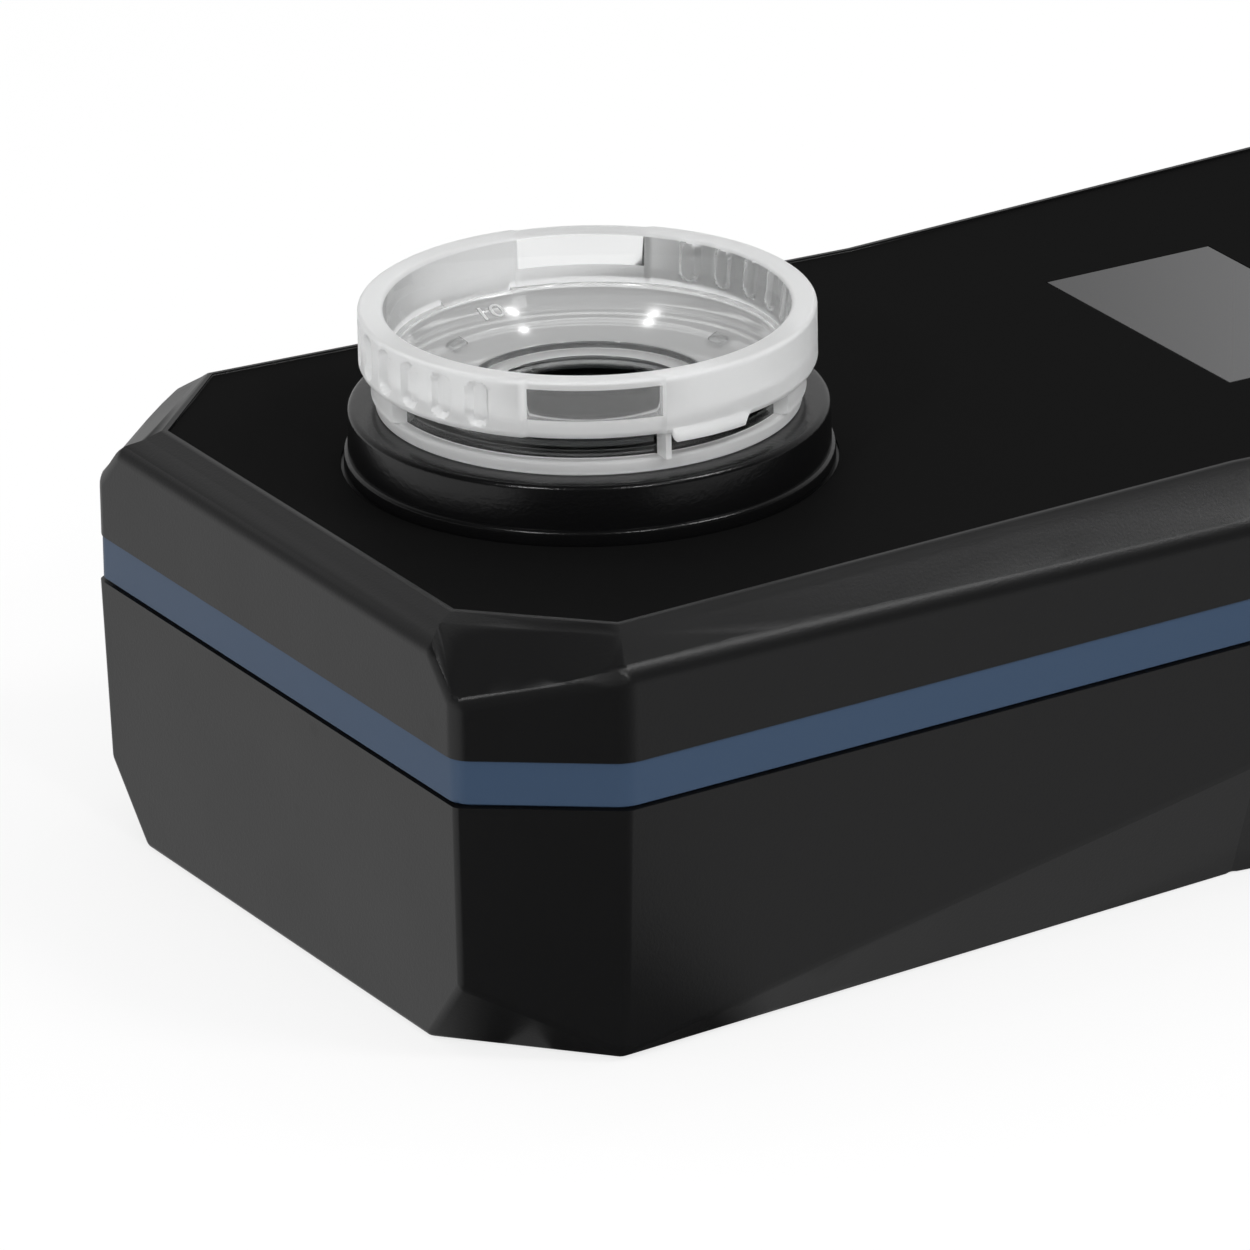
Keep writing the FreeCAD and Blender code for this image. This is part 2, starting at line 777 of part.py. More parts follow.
def make_display():
    lens = block("display_window", ZERO, window_y, d.window_width, d.window_length,
                 d.label_level - d.window_thickness, d.label_level)
    keep(lens, "display_window")
    width = d.window_width + d.panel_margin * 2
    length = d.window_length + d.panel_margin * 2 + d.strip_width
    panel_low = panel_top - d.panel_thickness
    keep(block("lcd_panel", ZERO, window_y, width, length, panel_low, panel_top), "lcd_panel")
    light_length = length - d.strip_width - d.backlight_gap
    light_y = window_y + (length - light_length) / 2
    keep(block("backlight", ZERO, light_y, width, light_length, board_top, panel_low),
         "backlight")
    strip_y = window_y - (length - d.strip_width) / 2
    keep(block("contact_strip", ZERO, strip_y, width - d.strip_inset * 2, d.strip_width,
               board_top, panel_low), "contact_strip")
    inner_width = width + d.bezel_gap * 2
    inner_length = length + d.bezel_gap * 2
    frame = [oblong(ZERO, window_y, inner_width + d.bezel_wall * 2,
                    inner_length + d.bezel_wall * 2),
             oblong(ZERO, window_y, inner_width, inner_length)]
    keep(prism("lcd_bezel", frame, board_top, panel_top), "lcd_bezel")


def make_keys():
    flange_top = ceiling - d.key_flange_gap
    flange_low = flange_top - d.key_flange_thickness
    for name, (x, y) in zip(key_names, key_places):
        cap = prism(name + "_cap", [oblong(x, y, d.key_width, d.key_length)],
                    flange_low, d.label_level + d.key_proud)
        round_edges(cap, d.key_round, upright)
        flange = prism(name + "_flange",
                       [oblong(x, y, d.key_width + d.key_flange * 2,
                               d.key_length + d.key_flange * 2)], flange_low, flange_top)
        round_edges(flange, d.key_round, upright)
        keep(join(name, [cap, flange]), name)
    mat_top = board_top + d.mat_thickness
    dome_top = flange_low - d.key_travel - d.dome_gap
    mat = prism("mat_sheet", [oblong(ZERO, last_keys_y + d.key_row_pitch / 2,
                                     d.key_column_pitch * 2 + d.key_width,
                                     d.key_row_pitch + d.key_length)], board_top, mat_top)
    domes = [rod("key_dome", x, y, mat_top - OVERLAP, dome_top, d.dome_radius)
             for x, y in key_places]
    keep(join("key_mat", [mat] + domes), "key_mat")


def make_main_board():
    wide = d.board_width / 2
    narrow = wide / 2
    outline = [(wide, board_tail), (wide, board_shoulder), (narrow, board_shoulder),
               (narrow, board_head)]
    outline += [(-x, y) for x, y in reversed(outline)]
    body = prism("board_sheet", [outline], board_low, board_top,
                 [(spot, d.small_screw_radius + d.screw_gap) for spot in board_screw_places])
    keep(body, "main_board")
    chip_low = board_low - d.chip_height
    keep(group("board_chips", [
        block("processor", ZERO, window_y, d.processor_side, d.processor_side,
              chip_low, board_low),
        block("memory", d.chip_offset, window_y, d.memory_width, d.memory_length,
              chip_low, board_low),
        block("supply", -d.chip_offset, window_y, d.supply_width, d.supply_length,
              chip_low, board_low),
    ]), "board_chips")


def make_collar():
    bore = d.collar_bore
    spigot = d.spigot_radius
    low = -d.spigot_depth
    profile = [
        (bore, low), (spigot, low), (spigot, ZERO), (d.collar_flange_radius, ZERO),
        (d.collar_flange_radius, d.collar_flange_height - d.edge_break),
        (d.collar_radius, d.collar_flange_height),
        (d.collar_radius, d.collar_height - d.collar_round),
        (d.collar_radius - d.collar_round, d.collar_height), (bore, d.collar_height),
    ]
    keep(turned("collar_ring", profile, ZERO, cup_y, collar_low), "collar_ring")
    seat = label_floor - d.gasket_thickness
    gasket = [(spigot + d.spigot_gap, ZERO), (spigot + d.gasket_width, ZERO),
              (spigot + d.gasket_width, d.gasket_thickness),
              (spigot + d.spigot_gap, d.gasket_thickness)]
    keep(turned("collar_gasket", gasket, ZERO, cup_y, seat), "collar_gasket")
    nut_height = ceiling - (collar_low - d.spigot_depth)
    nut = [(spigot, ZERO), (spigot + d.nut_width, ZERO),
           (spigot + d.nut_width, nut_height), (spigot, nut_height)]
    keep(turned("collar_nut", nut, ZERO, cup_y, ceiling - nut_height), "collar_nut")


def octagon(radius, level, across):
    """An eight-sided section about a point, as wide across its flats as a round one."""
    half = across / 2
    short = half * math.tan(math.pi / 8)
    return [(radius + half, level + short), (radius + short, level + half),
            (radius - short, level + half), (radius - half, level + short),
            (radius - half, level - short), (radius - short, level - half),
            (radius + short, level - half), (radius + half, level - short)]


def cuvette_section():
    """The cuvette's half section, from its collar seat; the well hangs below the bowl."""
    neck = d.collar_bore - d.neck_gap
    neck_inner = neck - d.neck_wall
    groove_bed = seal_inner - d.seal_gap
    groove_half = d.seal_section / 2 + d.seal_groove_gap
    groove_middle = -d.neck_depth / 2
    mouth = d.well_mouth_rise
    ledge = mouth - d.well_ledge_drop
    under = ledge - d.well_wall
    well_floor = mouth - d.well_depth
    well_outer = d.well_radius + d.well_wall
    flange = d.cup_flange_height
    skirt = flange + d.cup_groove_height
    rim = skirt + d.grip_height
    breaks = d.edge_break
    underside = [
        (ZERO, well_floor - d.well_wall), (well_outer - breaks, well_floor - d.well_wall),
        (well_outer, well_floor - d.well_wall + breaks), (well_outer, under),
        (d.well_mouth_radius + d.well_wall, under), (neck_inner, d.bowl_underside_rise),
        (neck_inner, -d.neck_depth), (neck - breaks, -d.neck_depth),
        (neck, -d.neck_depth + breaks),
    ]
    seal_groove = [
        (neck, groove_middle - groove_half), (groove_bed, groove_middle - groove_half),
        (groove_bed, groove_middle + groove_half), (neck, groove_middle + groove_half),
    ]
    outside = [
        (neck, ZERO), (d.cup_flange_radius, ZERO), (d.cup_flange_radius, flange),
        (d.cup_flange_radius - d.cup_groove_depth, flange),
        (d.cup_flange_radius - d.cup_groove_depth, skirt), (d.grip_radius, skirt),
        (d.grip_radius, rim - breaks), (d.grip_radius - breaks, rim),
    ]
    inside = [
        (d.grip_radius - d.rim_wall, rim), (d.bowl_floor_radius, d.bowl_floor_rise),
        (d.well_mouth_radius + breaks, mouth), (d.well_mouth_radius, mouth - breaks),
        (d.well_mouth_radius, ledge), (d.well_radius, ledge),
        (d.well_radius - d.well_taper, well_floor + breaks),
        (d.well_radius - d.well_taper - breaks, well_floor), (ZERO, well_floor),
    ]
    return underside + seal_groove + outside + inside


def grip_slot(angle, rim_level):
    """A round-ended slot that opens at the rim, turned to its place round the grip."""
    end_radius = d.grip_slot_width.value / 2
    inner = d.grip_radius.value - d.grip_slot_depth.value
    low = rim_level.value - d.grip_slot_length.value + end_radius
    reach = d.grip_slot_depth.value + OVERSHOOT
    start = FreeCAD.Vector(inner, -end_radius, low)
    straight = Part.makeBox(reach, end_radius * 2, rim_level.value + OVERSHOOT - low, start)
    outward = FreeCAD.Vector(1, 0, 0)
    tip = Part.makeCylinder(end_radius, reach, FreeCAD.Vector(inner, 0, low), outward)
    slot = doc.addObject("Part::Feature", "grip_slot")
    slot.Shape = straight.fuse(tip)
    slot.Placement = FreeCAD.Placement(FreeCAD.Vector(0, cup_y.value, 0),
                                       FreeCAD.Rotation(FreeCAD.Vector(0, 0, 1), angle))
    return slot


def make_cuvette():
    blank = turned("cuvette_blank", cuvette_section(), ZERO, cup_y, collar_top)
    rim_level = collar_top + d.cup_flange_height + d.cup_groove_height + d.grip_height
    slots = [grip_slot(d.first_slot_angle.value + half_turn - step * d.grip_slot_angle.value,
                       rim_level)
             for half_turn in (0, 180)
             for step in range(int(d.grip_slot_count.value))]
    keep(cut("cuvette", blank, slots), "cuvette")
    section = octagon(seal_inner + d.seal_section / 2, -d.neck_depth / 2, d.seal_section)
    keep(turned("cuvette_seal", section, ZERO, cup_y, collar_top), "cuvette_seal")


def make_optics():
    """A block with light ports across a sleeve, which holds the well with a small gap."""
    bore = d.well_radius + d.well_wall + d.block_bore_gap
    bore_floor = well_bottom - d.block_bore_gap
    port_level = block_top - d.port_drop
    plate = prism("block_plate", [oblong(ZERO, cup_y, d.block_width, d.block_length)],
                  block_seat, block_top, [(spot, d.small_screw_radius + d.screw_gap)
                                          for spot in block_screw_places])
    sleeve = rod("block_sleeve", ZERO, cup_y, bore_floor - d.block_floor, block_top,
                 bore + d.sleeve_wall)
    tools = [rod("block_bore", ZERO, cup_y, bore_floor, block_top + OVERSHOOT, bore)]
    for step in (-1, 0, 1):
        tools.append(lying_rod("light_port", -d.block_width, cup_y + step * d.port_pitch,
                               port_level, d.block_width * 2, d.port_radius, "X"))
    keep(cut("optics_block", join("block_solid", [plate, sleeve]), tools), "optics_block")
    face = d.block_width / 2
    for side, board, parts in ((-1, "led_board", "leds"), (1, "detector_board", "photodiodes")):
        keep(block(board, side * (face + d.sensor_board_thickness / 2), cup_y,
                   d.sensor_board_thickness, d.sensor_board_length,
                   port_level - d.sensor_board_height / 2,
                   port_level + d.sensor_board_height / 2), board)
        start = -face if side < 0 else face - d.emitter_length
        lamps = [lying_rod(parts + "_lamp", start, cup_y + step * d.port_pitch, port_level,
                           d.emitter_length, d.emitter_radius, "X") for step in (-1, 0, 1)]
        keep(group(parts, lamps), parts)


def make_battery():
    for name, step in (("aaa_cell_left", -1), ("aaa_cell_middle", 0), ("aaa_cell_right", 1)):
        x = step * d.cell_pitch
        low = bay_y - bay_length / 2 + d.contact_thickness
        high = low + d.cell_length
        can_length = d.cell_length - d.cell_tip_length
        if step == 0:
            tip_low, can_low = low, low + d.cell_tip_length
        else:
            tip_low, can_low = (high + d.spring_length - d.cell_tip_length - OVERLAP,
                                low + d.spring_length)
        can = lying_rod(name + "_can", x, can_low, cell_level, can_length, d.cell_radius, "Y")
        tip = lying_rod(name + "_tip", x, tip_low, cell_level, d.cell_tip_length + OVERLAP,
                        d.cell_tip_radius, "Y")
        keep(join(name, [can, tip]), name)
    plates = []
    for end in (-1, 1):
        for step in (-1, 0, 1):
            y = bay_y + end * (bay_length / 2 - d.contact_thickness / 2)
            plates.append(block("contact_plate", step * d.cell_pitch, y, d.cell_radius * 1.6,
                                d.contact_thickness, cell_level - d.contact_height / 2,
                                cell_level + d.contact_height / 2))
    keep(group("battery_contacts", plates), "battery_contacts")
    leaves = []
    strip = d.leaf_thickness
    low = cell_level - d.leaf_height / 2
    high = cell_level + d.leaf_height / 2
    for step in (-1, 0, 1):
        end = 1 if step == 0 else -1
        face = bay_y + end * (bay_length / 2 - d.contact_thickness)
        crest = d.spring_length - d.leaf_gap
        body = new_body("spring_leaf")
        sketch = new_sketch(body, "YZ_Plane", step * d.cell_pitch - d.leaf_width / 2)
        draw_loop(sketch, [
            (face, low - d.leaf_foot), (face - end * strip, low - d.leaf_foot),
            (face - end * strip, low), (face - end * crest, cell_level),
            (face - end * strip * 2, high), (face - end * strip, high),
            (face - end * (crest - strip), cell_level), (face, low)])
        pad(body, sketch, d.leaf_width)
        leaves.append(body)
    keep(group("battery_springs", leaves), "battery_springs")
    cover = block("cover_plate", ZERO, bay_y, cover_width, cover_length, ZERO, d.cover_thickness)
    holes = [rod("cover_hole", x, y, sized(-OVERSHOOT), d.cover_thickness + OVERSHOOT,
                 d.small_screw_radius + d.screw_gap) for x, y in cover_screw_places]
    holes += [rod("cover_sink", x, y, sized(-OVERSHOOT), d.small_screw_head_height,
                  d.small_screw_head + d.screw_gap) for x, y in cover_screw_places]
    keep(cut("battery_cover", cover, holes), "battery_cover")
    inner_width = bay_width + d.cover_seal_inset * 2
    inner_length = bay_length + d.cover_seal_inset * 2
    loops = [oblong(ZERO, bay_y, inner_width + d.cover_seal_width * 2,
                    inner_length + d.cover_seal_width * 2),
             oblong(ZERO, bay_y, inner_width, inner_length)]
    keep(prism("cover_seal", loops, d.cover_thickness, cover_seat), "cover_seal")


def screw(name, x, y, seat, head_radius, head_height, radius, end):
    """A pan-head screw that goes up from its seat to its end."""
    length = end - seat
    profile = [(ZERO, -head_height), (head_radius - d.edge_break, -head_height),
               (head_radius, d.edge_break - head_height), (head_radius, ZERO), (radius, ZERO),
               (radius, length - radius), (ZERO, length)]
    return turned(name, profile, x, y, seat)


def small_screws(name, places, seat, thread_start):
    """Small screws that reach a thread's depth past the face where their holes start."""
    end = thread_start + d.small_screw_length - d.thread_run_out - d.thread_spare
    keep(group(name, [screw(name + "_one", x, y, seat, d.small_screw_head,
                            d.small_screw_head_height, d.small_screw_radius, end)
                      for x, y in places]), name)


def make_screws():
    keep(group("housing_screws", [
        screw("housing_screw", x, y, d.housing_screw_seat, d.housing_screw_head,
              d.housing_screw_head_height, d.housing_screw_radius, d.housing_screw_end)
        for x, y in housing_screw_places]), "housing_screws")
    small_screws("board_screws", board_screw_places, board_low, board_top)
    small_screws("optics_screws", block_screw_places, block_seat, block_top)
    small_screws("cover_screws", cover_screw_places, d.small_screw_head_height, cover_seat)


make_lower_shell()
make_trim_band()
make_upper_shell()
make_front_label()
make_display()
make_keys()
make_main_board()
make_collar()
make_cuvette()
make_optics()
make_battery()
make_screws()
doc.recompute()

faults = [thing.Label for thing in doc.Objects
          if "Invalid" in thing.State or "Error" in thing.State]
faults += [piece.Label for piece in pieces
           if piece.Shape.isNull() or not piece.Shape.isValid()]
if faults:
    raise SystemExit("These pieces failed: " + ", ".join(faults))

os.makedirs("parts", exist_ok=True)
for piece in pieces:
    piece.Shape.exportStep(f"parts/{piece.Label}.step")
    print(piece.Label, len(piece.Shape.Solids), round(piece.Shape.Volume, 1))
print("pieces", len(pieces))
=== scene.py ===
# %% [markdown]
# A handheld photometer lies on its back: a black waisted housing with a blue-grey band, a black
# front label, a collar and a clear cuvette. The solids come from the frame at their real size.
# This lesson gives them rounded edges, real finishes, a studio and the photograph's camera.

# %% Load the frame
import math

import bmesh
import bpy
from mathutils import Matrix, Vector


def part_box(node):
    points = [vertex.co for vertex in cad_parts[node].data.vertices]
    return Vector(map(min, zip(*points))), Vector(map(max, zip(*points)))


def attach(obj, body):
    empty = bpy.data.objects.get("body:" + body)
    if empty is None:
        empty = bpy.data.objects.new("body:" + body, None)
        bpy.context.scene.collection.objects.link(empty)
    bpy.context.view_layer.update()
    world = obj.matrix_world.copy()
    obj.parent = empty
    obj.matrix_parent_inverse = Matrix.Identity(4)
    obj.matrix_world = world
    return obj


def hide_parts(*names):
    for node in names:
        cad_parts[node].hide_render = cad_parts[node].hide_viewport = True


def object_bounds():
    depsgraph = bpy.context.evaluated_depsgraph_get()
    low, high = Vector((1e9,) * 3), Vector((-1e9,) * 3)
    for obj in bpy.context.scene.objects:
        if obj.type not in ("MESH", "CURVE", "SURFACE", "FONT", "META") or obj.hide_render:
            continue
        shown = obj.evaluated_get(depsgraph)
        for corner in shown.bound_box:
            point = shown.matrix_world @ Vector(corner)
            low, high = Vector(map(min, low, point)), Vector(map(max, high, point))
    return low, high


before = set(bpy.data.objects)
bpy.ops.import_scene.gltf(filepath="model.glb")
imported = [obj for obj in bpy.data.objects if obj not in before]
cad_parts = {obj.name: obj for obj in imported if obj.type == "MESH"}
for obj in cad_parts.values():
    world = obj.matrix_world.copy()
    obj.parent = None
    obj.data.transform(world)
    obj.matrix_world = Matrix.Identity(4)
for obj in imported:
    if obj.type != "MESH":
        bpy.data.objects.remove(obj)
cad_low, cad_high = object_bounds()
MM = 0.001
print("nodes", len(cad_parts), "size in mm", [round(v / MM, 1) for v in cad_high - cad_low])

# %% [markdown]
# The photograph was taken with a long lens, so lines that are parallel stay nearly parallel. The
# camera stands above the head end, at one side. Its place is worked out backwards: a point of the
# object whose pixel is known is put under that pixel, at the distance that gives the right scale.

# %% Camera
PHOTO_SIDE = 1250
FOCAL_PIXELS = 14000
CAMERA_AZIMUTH = math.radians(239.894)
CAMERA_ELEVATION = math.radians(21.7236)
CAMERA_ROLL = math.radians(-1.0499)
CAMERA_DISTANCE = 1.36533
KNOWN_POINT = Vector((0, 0.0385, 0.020))
KNOWN_PIXEL = (677.815, 655.330)
SENSOR_MM = 36.0


def camera_axes():
    """The camera's right, up and back directions in the object's frame."""
    level = math.cos(CAMERA_ELEVATION)
    back = Vector((math.sin(CAMERA_AZIMUTH) * level, -math.cos(CAMERA_AZIMUTH) * level,
                   math.sin(CAMERA_ELEVATION)))
    right = Vector((math.cos(CAMERA_AZIMUTH), math.sin(CAMERA_AZIMUTH), 0))
    up = back.cross(right)
    turn = (math.cos(CAMERA_ROLL), math.sin(CAMERA_ROLL))
    return right * turn[0] + up * turn[1], up * turn[0] - right * turn[1], back


def make_camera():
    right, up, back = camera_axes()
    across = (KNOWN_PIXEL[0] - PHOTO_SIDE / 2) / FOCAL_PIXELS * CAMERA_DISTANCE
    down = (KNOWN_PIXEL[1] - PHOTO_SIDE / 2) / FOCAL_PIXELS * CAMERA_DISTANCE
    place = KNOWN_POINT - right * across + up * down + back * CAMERA_DISTANCE
    data = bpy.data.cameras.new("photo_camera")
    data.sensor_width = SENSOR_MM
    data.lens = FOCAL_PIXELS * SENSOR_MM / PHOTO_SIDE
    data.clip_end = 20
    camera = bpy.data.objects.new("photo_camera", data)
    camera.matrix_world = Matrix.Translation(place) @ Matrix((right, up, back)).transposed().to_4x4()
    bpy.context.scene.collection.objects.link(camera)
    bpy.context.scene.camera = camera
    return camera


camera = make_camera()
TOWARDS_CAMERA = Vector((camera.location.x, camera.location.y, 0)).normalized()
print("camera at", [round(v, 4) for v in camera.location], "lens", round(camera.data.lens, 1))

# %% [markdown]
# Small helpers keep the node trees short. One adds a node and sets its sockets by name, one joins
# sockets, and one starts a node group with named inputs and outputs.


# %% Node helpers
def add(tree, kind, **sockets):
    """A new node, with the sockets that are named set; an underscore stands for a space."""
    node = tree.nodes.new(kind)
    for name, value in sockets.items():
        node.inputs[name.replace("_", " ")].default_value = value
    return node


def arithmetic(tree, operation, first, second):
    """A Math node of two values, each a socket or a number."""
    node = tree.nodes.new("ShaderNodeMath")
    node.operation = operation
    for index, value in enumerate((first, second)):
        if isinstance(value, (int, float)):
            node.inputs[index].default_value = value
        else:
            tree.links.new(value, node.inputs[index])
    return node.outputs[0]


def choose(tree, share, first, second):
    """A Mix Shader: the first shader where share is 0, the second where it is 1."""
    node = tree.nodes.new("ShaderNodeMixShader")
    tree.links.new(share, node.inputs[0])
    tree.links.new(first, node.inputs[1])
    tree.links.new(second, node.inputs[2])
    return node.outputs[0]


def mirrored_rays(tree, rays):
    """1 for a reflection. Light that passes through a rough clear surface counts as glossy too."""
    through = arithmetic(tree, "SUBTRACT", 1.0, rays.outputs["Is Transmission Ray"])
    return arithmetic(tree, "MULTIPLY", rays.outputs["Is Glossy Ray"], through)


def new_group(name, inputs, outputs):
    """A shader node group, with the nodes that hold its inputs and outputs."""
    group = bpy.data.node_groups.new(name, "ShaderNodeTree")
    for socket, kind, value in inputs:
        made = group.interface.new_socket(name=socket, in_out="INPUT", socket_type=kind)
        made.default_value = value
    for socket, kind in outputs:
        group.interface.new_socket(name=socket, in_out="OUTPUT", socket_type=kind)
    return group, group.nodes.new("NodeGroupInput"), group.nodes.new("NodeGroupOutput")


# %% [markdown]
# The studio is a white backdrop behind the object, a darker room behind the camera, and a few soft
# lamps. Black plastic shows little colour of its own: its faces look different because each
# reflects another part of the room. So the room that reflections see runs from bright behind the
# object to dark at the camera, and the plain light on the object is even.

# %% World
ROOM_LIGHT = 0.85
ROOM_MIDDLE = 0.06
ROOM_FALL = 0.53
DARKEST = 0.01
WHITE = (1, 1, 1, 1)


def studio_brightness(tree, direction):
    """How bright the room looks in a reflection: it fades towards the camera."""
    product = tree.nodes.new("ShaderNodeVectorMath")
    product.operation = "DOT_PRODUCT"
    product.inputs[1].default_value = TOWARDS_CAMERA * ROOM_FALL
    tree.links.new(direction, product.inputs[0])
    bright = arithmetic(tree, "SUBTRACT", ROOM_MIDDLE, product.outputs["Value"])
    return arithmetic(tree, "MAXIMUM", bright, DARKEST)


def studio_world():
    world = bpy.data.worlds.new("studio")
    bpy.context.scene.world = world
    world.use_nodes = True
    tree = world.node_tree
    tree.nodes.clear()
    rays = tree.nodes.new("ShaderNodeLightPath")
    around = tree.nodes.new("ShaderNodeTexCoord")
    room = add(tree, "ShaderNodeBackground", Color=WHITE, Strength=ROOM_LIGHT)
    backdrop = add(tree, "ShaderNodeBackground", Color=WHITE, Strength=1.0)
    reflected = add(tree, "ShaderNodeBackground", Color=WHITE)
    strength = studio_brightness(tree, around.outputs["Generated"])
    tree.links.new(strength, reflected.inputs["Strength"])
    seen = arithmetic(tree, "MAXIMUM", rays.outputs["Is Camera Ray"],
                      rays.outputs["Is Transmission Ray"])
    light = choose(tree, seen, room.outputs[0], backdrop.outputs[0])
    light = choose(tree, mirrored_rays(tree, rays), light, reflected.outputs[0])
    output = tree.nodes.new("ShaderNodeOutputWorld")
    tree.links.new(light, output.inputs["Surface"])


studio_world()
bpy.context.scene.view_settings.view_transform = "Standard"
print("world light", ROOM_LIGHT)

# %% [markdown]
# The floor is pale. The camera sees it nearly white, with a soft shadow left in it. In the
# plastic's reflections it is a light table with one dark wedge, in front of the corner that faces
# the camera: that is why the corner's facets look darker than the walls beside them. Seen from
# below the floor is clear, so that the underside of the housing can be looked at; under the
# housing its light is even.

# %% Floor
FLOOR_HALF = 4.0
FLOOR_DROP = 0.0002
SHADOW_SHARE = 0.22
FRONT_TABLE_LIGHT = 0.66
SIDE_TABLE_LIGHT = 0.42
SIDE_BLEND = 0.015
NEAR_CORNER = Vector((-0.0396, 0.0768, 0))
PATCH_SHIFT = 0.006
PATCH_START = 0.03
PATCH_SPREAD = (0.35, 0.95)
PATCH_LIGHT = 0.05
UNDER_HALF = (0.037, 0.078)
UNDER_LIGHT = 0.35


def along(tree, position, direction):
    """How far a point lies from the near corner, along a level direction."""
    product = tree.nodes.new("ShaderNodeVectorMath")
    product.operation = "DOT_PRODUCT"
    product.inputs[1].default_value = direction
    tree.links.new(position, product.inputs[0])
    return arithmetic(tree, "SUBTRACT", product.outputs["Value"], NEAR_CORNER.dot(direction))


def smooth_range(tree, value, start, end, low, high):
    """A value that turns smoothly from low to high between two ends."""
    step = tree.nodes.new("ShaderNodeMapRange")
    step.interpolation_type = "SMOOTHSTEP"
    ends = {"From Min": start, "From Max": end, "To Min": low, "To Max": high}
    for socket, number in ends.items():
        step.inputs[socket].default_value = number
    tree.links.new(value, step.inputs["Value"])
    return step.outputs["Result"]


def table_brightness(tree, position):
    """How bright a point of the floor looks in a reflection."""
    leftwards = Vector((0, 0, 1)).cross(TOWARDS_CAMERA) * -1
    across = arithmetic(tree, "ADD", along(tree, position, leftwards), PATCH_SHIFT)
    forward = arithmetic(tree, "ADD", along(tree, position, TOWARDS_CAMERA), PATCH_START)
    forward = arithmetic(tree, "MAXIMUM", forward, 0.001)
    spread = arithmetic(tree, "DIVIDE", arithmetic(tree, "ABSOLUTE", across, 0), forward)
    fade = smooth_range(tree, spread, *PATCH_SPREAD, 0, 1)
    level = smooth_range(tree, across, -SIDE_BLEND, SIDE_BLEND, SIDE_TABLE_LIGHT,
                         FRONT_TABLE_LIGHT)
    bright = arithmetic(tree, "MAXIMUM", arithmetic(tree, "MULTIPLY", fade, level), PATCH_LIGHT)
    split = tree.nodes.new("ShaderNodeSeparateXYZ")
    tree.links.new(position, split.inputs[0])
    under = []
    for axis, half in zip(("X", "Y"), UNDER_HALF):
        from_middle = arithmetic(tree, "ABSOLUTE", split.outputs[axis], 0)
        under.append(arithmetic(tree, "LESS_THAN", from_middle, half))
    covered = arithmetic(tree, "MULTIPLY", *under)
    outside = arithmetic(tree, "MULTIPLY", bright, arithmetic(tree, "SUBTRACT", 1.0, covered))
    return arithmetic(tree, "ADD", outside, arithmetic(tree, "MULTIPLY", covered, UNDER_LIGHT))


def floor_material():
    material = bpy.data.materials.new("pale_floor")
    material.use_nodes = True
    tree = material.node_tree
    tree.nodes.clear()
    rays = tree.nodes.new("ShaderNodeLightPath")
    place = tree.nodes.new("ShaderNodeTexCoord")
    matt = add(tree, "ShaderNodeBsdfDiffuse", Color=(0.9, 0.9, 0.9, 1))
    white = add(tree, "ShaderNodeEmission", Color=WHITE, Strength=1.0)
    reflected = add(tree, "ShaderNodeEmission", Color=WHITE)
    tree.links.new(table_brightness(tree, place.outputs["Object"]), reflected.inputs["Strength"])
    seen = arithmetic(tree, "MAXIMUM", rays.outputs["Is Camera Ray"],
                      rays.outputs["Is Transmission Ray"])
    bleached = arithmetic(tree, "MULTIPLY", seen, 1 - SHADOW_SHARE)
    shown = choose(tree, bleached, matt.outputs[0], white.outputs[0])
    shown = choose(tree, mirrored_rays(tree, rays), shown, reflected.outputs[0])
    clear = tree.nodes.new("ShaderNodeBsdfTransparent")
    side = tree.nodes.new("ShaderNodeNewGeometry")
    shown = choose(tree, side.outputs["Backfacing"], shown, clear.outputs[0])
    output = tree.nodes.new("ShaderNodeOutputMaterial")
    tree.links.new(shown, output.inputs["Surface"])
    return material


def make_floor():
    bm = bmesh.new()
    bmesh.ops.create_grid(bm, x_segments=1, y_segments=1, size=FLOOR_HALF)
    bmesh.ops.translate(bm, vec=(0, 0, cad_low.z - FLOOR_DROP), verts=bm.verts)
    mesh = bpy.data.meshes.new("floor")
    bm.to_mesh(mesh)
    bm.free()
    floor = bpy.data.objects.new("floor", mesh)
    mesh.materials.append(floor_material())
    bpy.context.scene.collection.objects.link(floor)
    return floor


make_floor()

# %% [markdown]
# Two soft lamps stand left and right of the camera, one at the side and two high at the back.
# They give the plastic its highlights: on the collar they show as two soft patches, and in the
# cuvette's bowl as small bright ones.

# %% Lamps
LAMP_DISTANCE = 1.3
LAMPS = {
    "left_lamp": {"turn": -28, "elevation": 34, "watts": 2.6, "size": 0.14},
    "right_lamp": {"turn": 27, "elevation": 36, "watts": 1.9, "size": 0.12},
    "side_lamp": {"turn": 70, "elevation": 48, "watts": 3.6, "size": 0.3},
    "back_left_lamp": {"turn": -150, "elevation": 62, "watts": 0.3, "size": 0.04},
    "back_right_lamp": {"turn": 150, "elevation": 62, "watts": 0.3, "size": 0.04},
}
LAMP_TARGET = Vector((0, 0.045, 0.03))


def make_lamp(name, turn, elevation, watts, size):
    """An area lamp at an angle from the camera's side, seen from above."""
    flat = Matrix.Rotation(math.radians(turn), 3, "Z") @ TOWARDS_CAMERA
    rise = math.radians(elevation)
    outward = flat * math.cos(rise) + Vector((0, 0, math.sin(rise)))
    data = bpy.data.lights.new(name, "AREA")
    data.size = size
    data.energy = watts
    lamp = bpy.data.objects.new(name, data)
    turn_to = outward.to_track_quat("Z", "Y").to_matrix().to_4x4()
    lamp.matrix_world = Matrix.Translation(LAMP_TARGET + outward * LAMP_DISTANCE) @ turn_to
    bpy.context.scene.collection.objects.link(lamp)
    return lamp


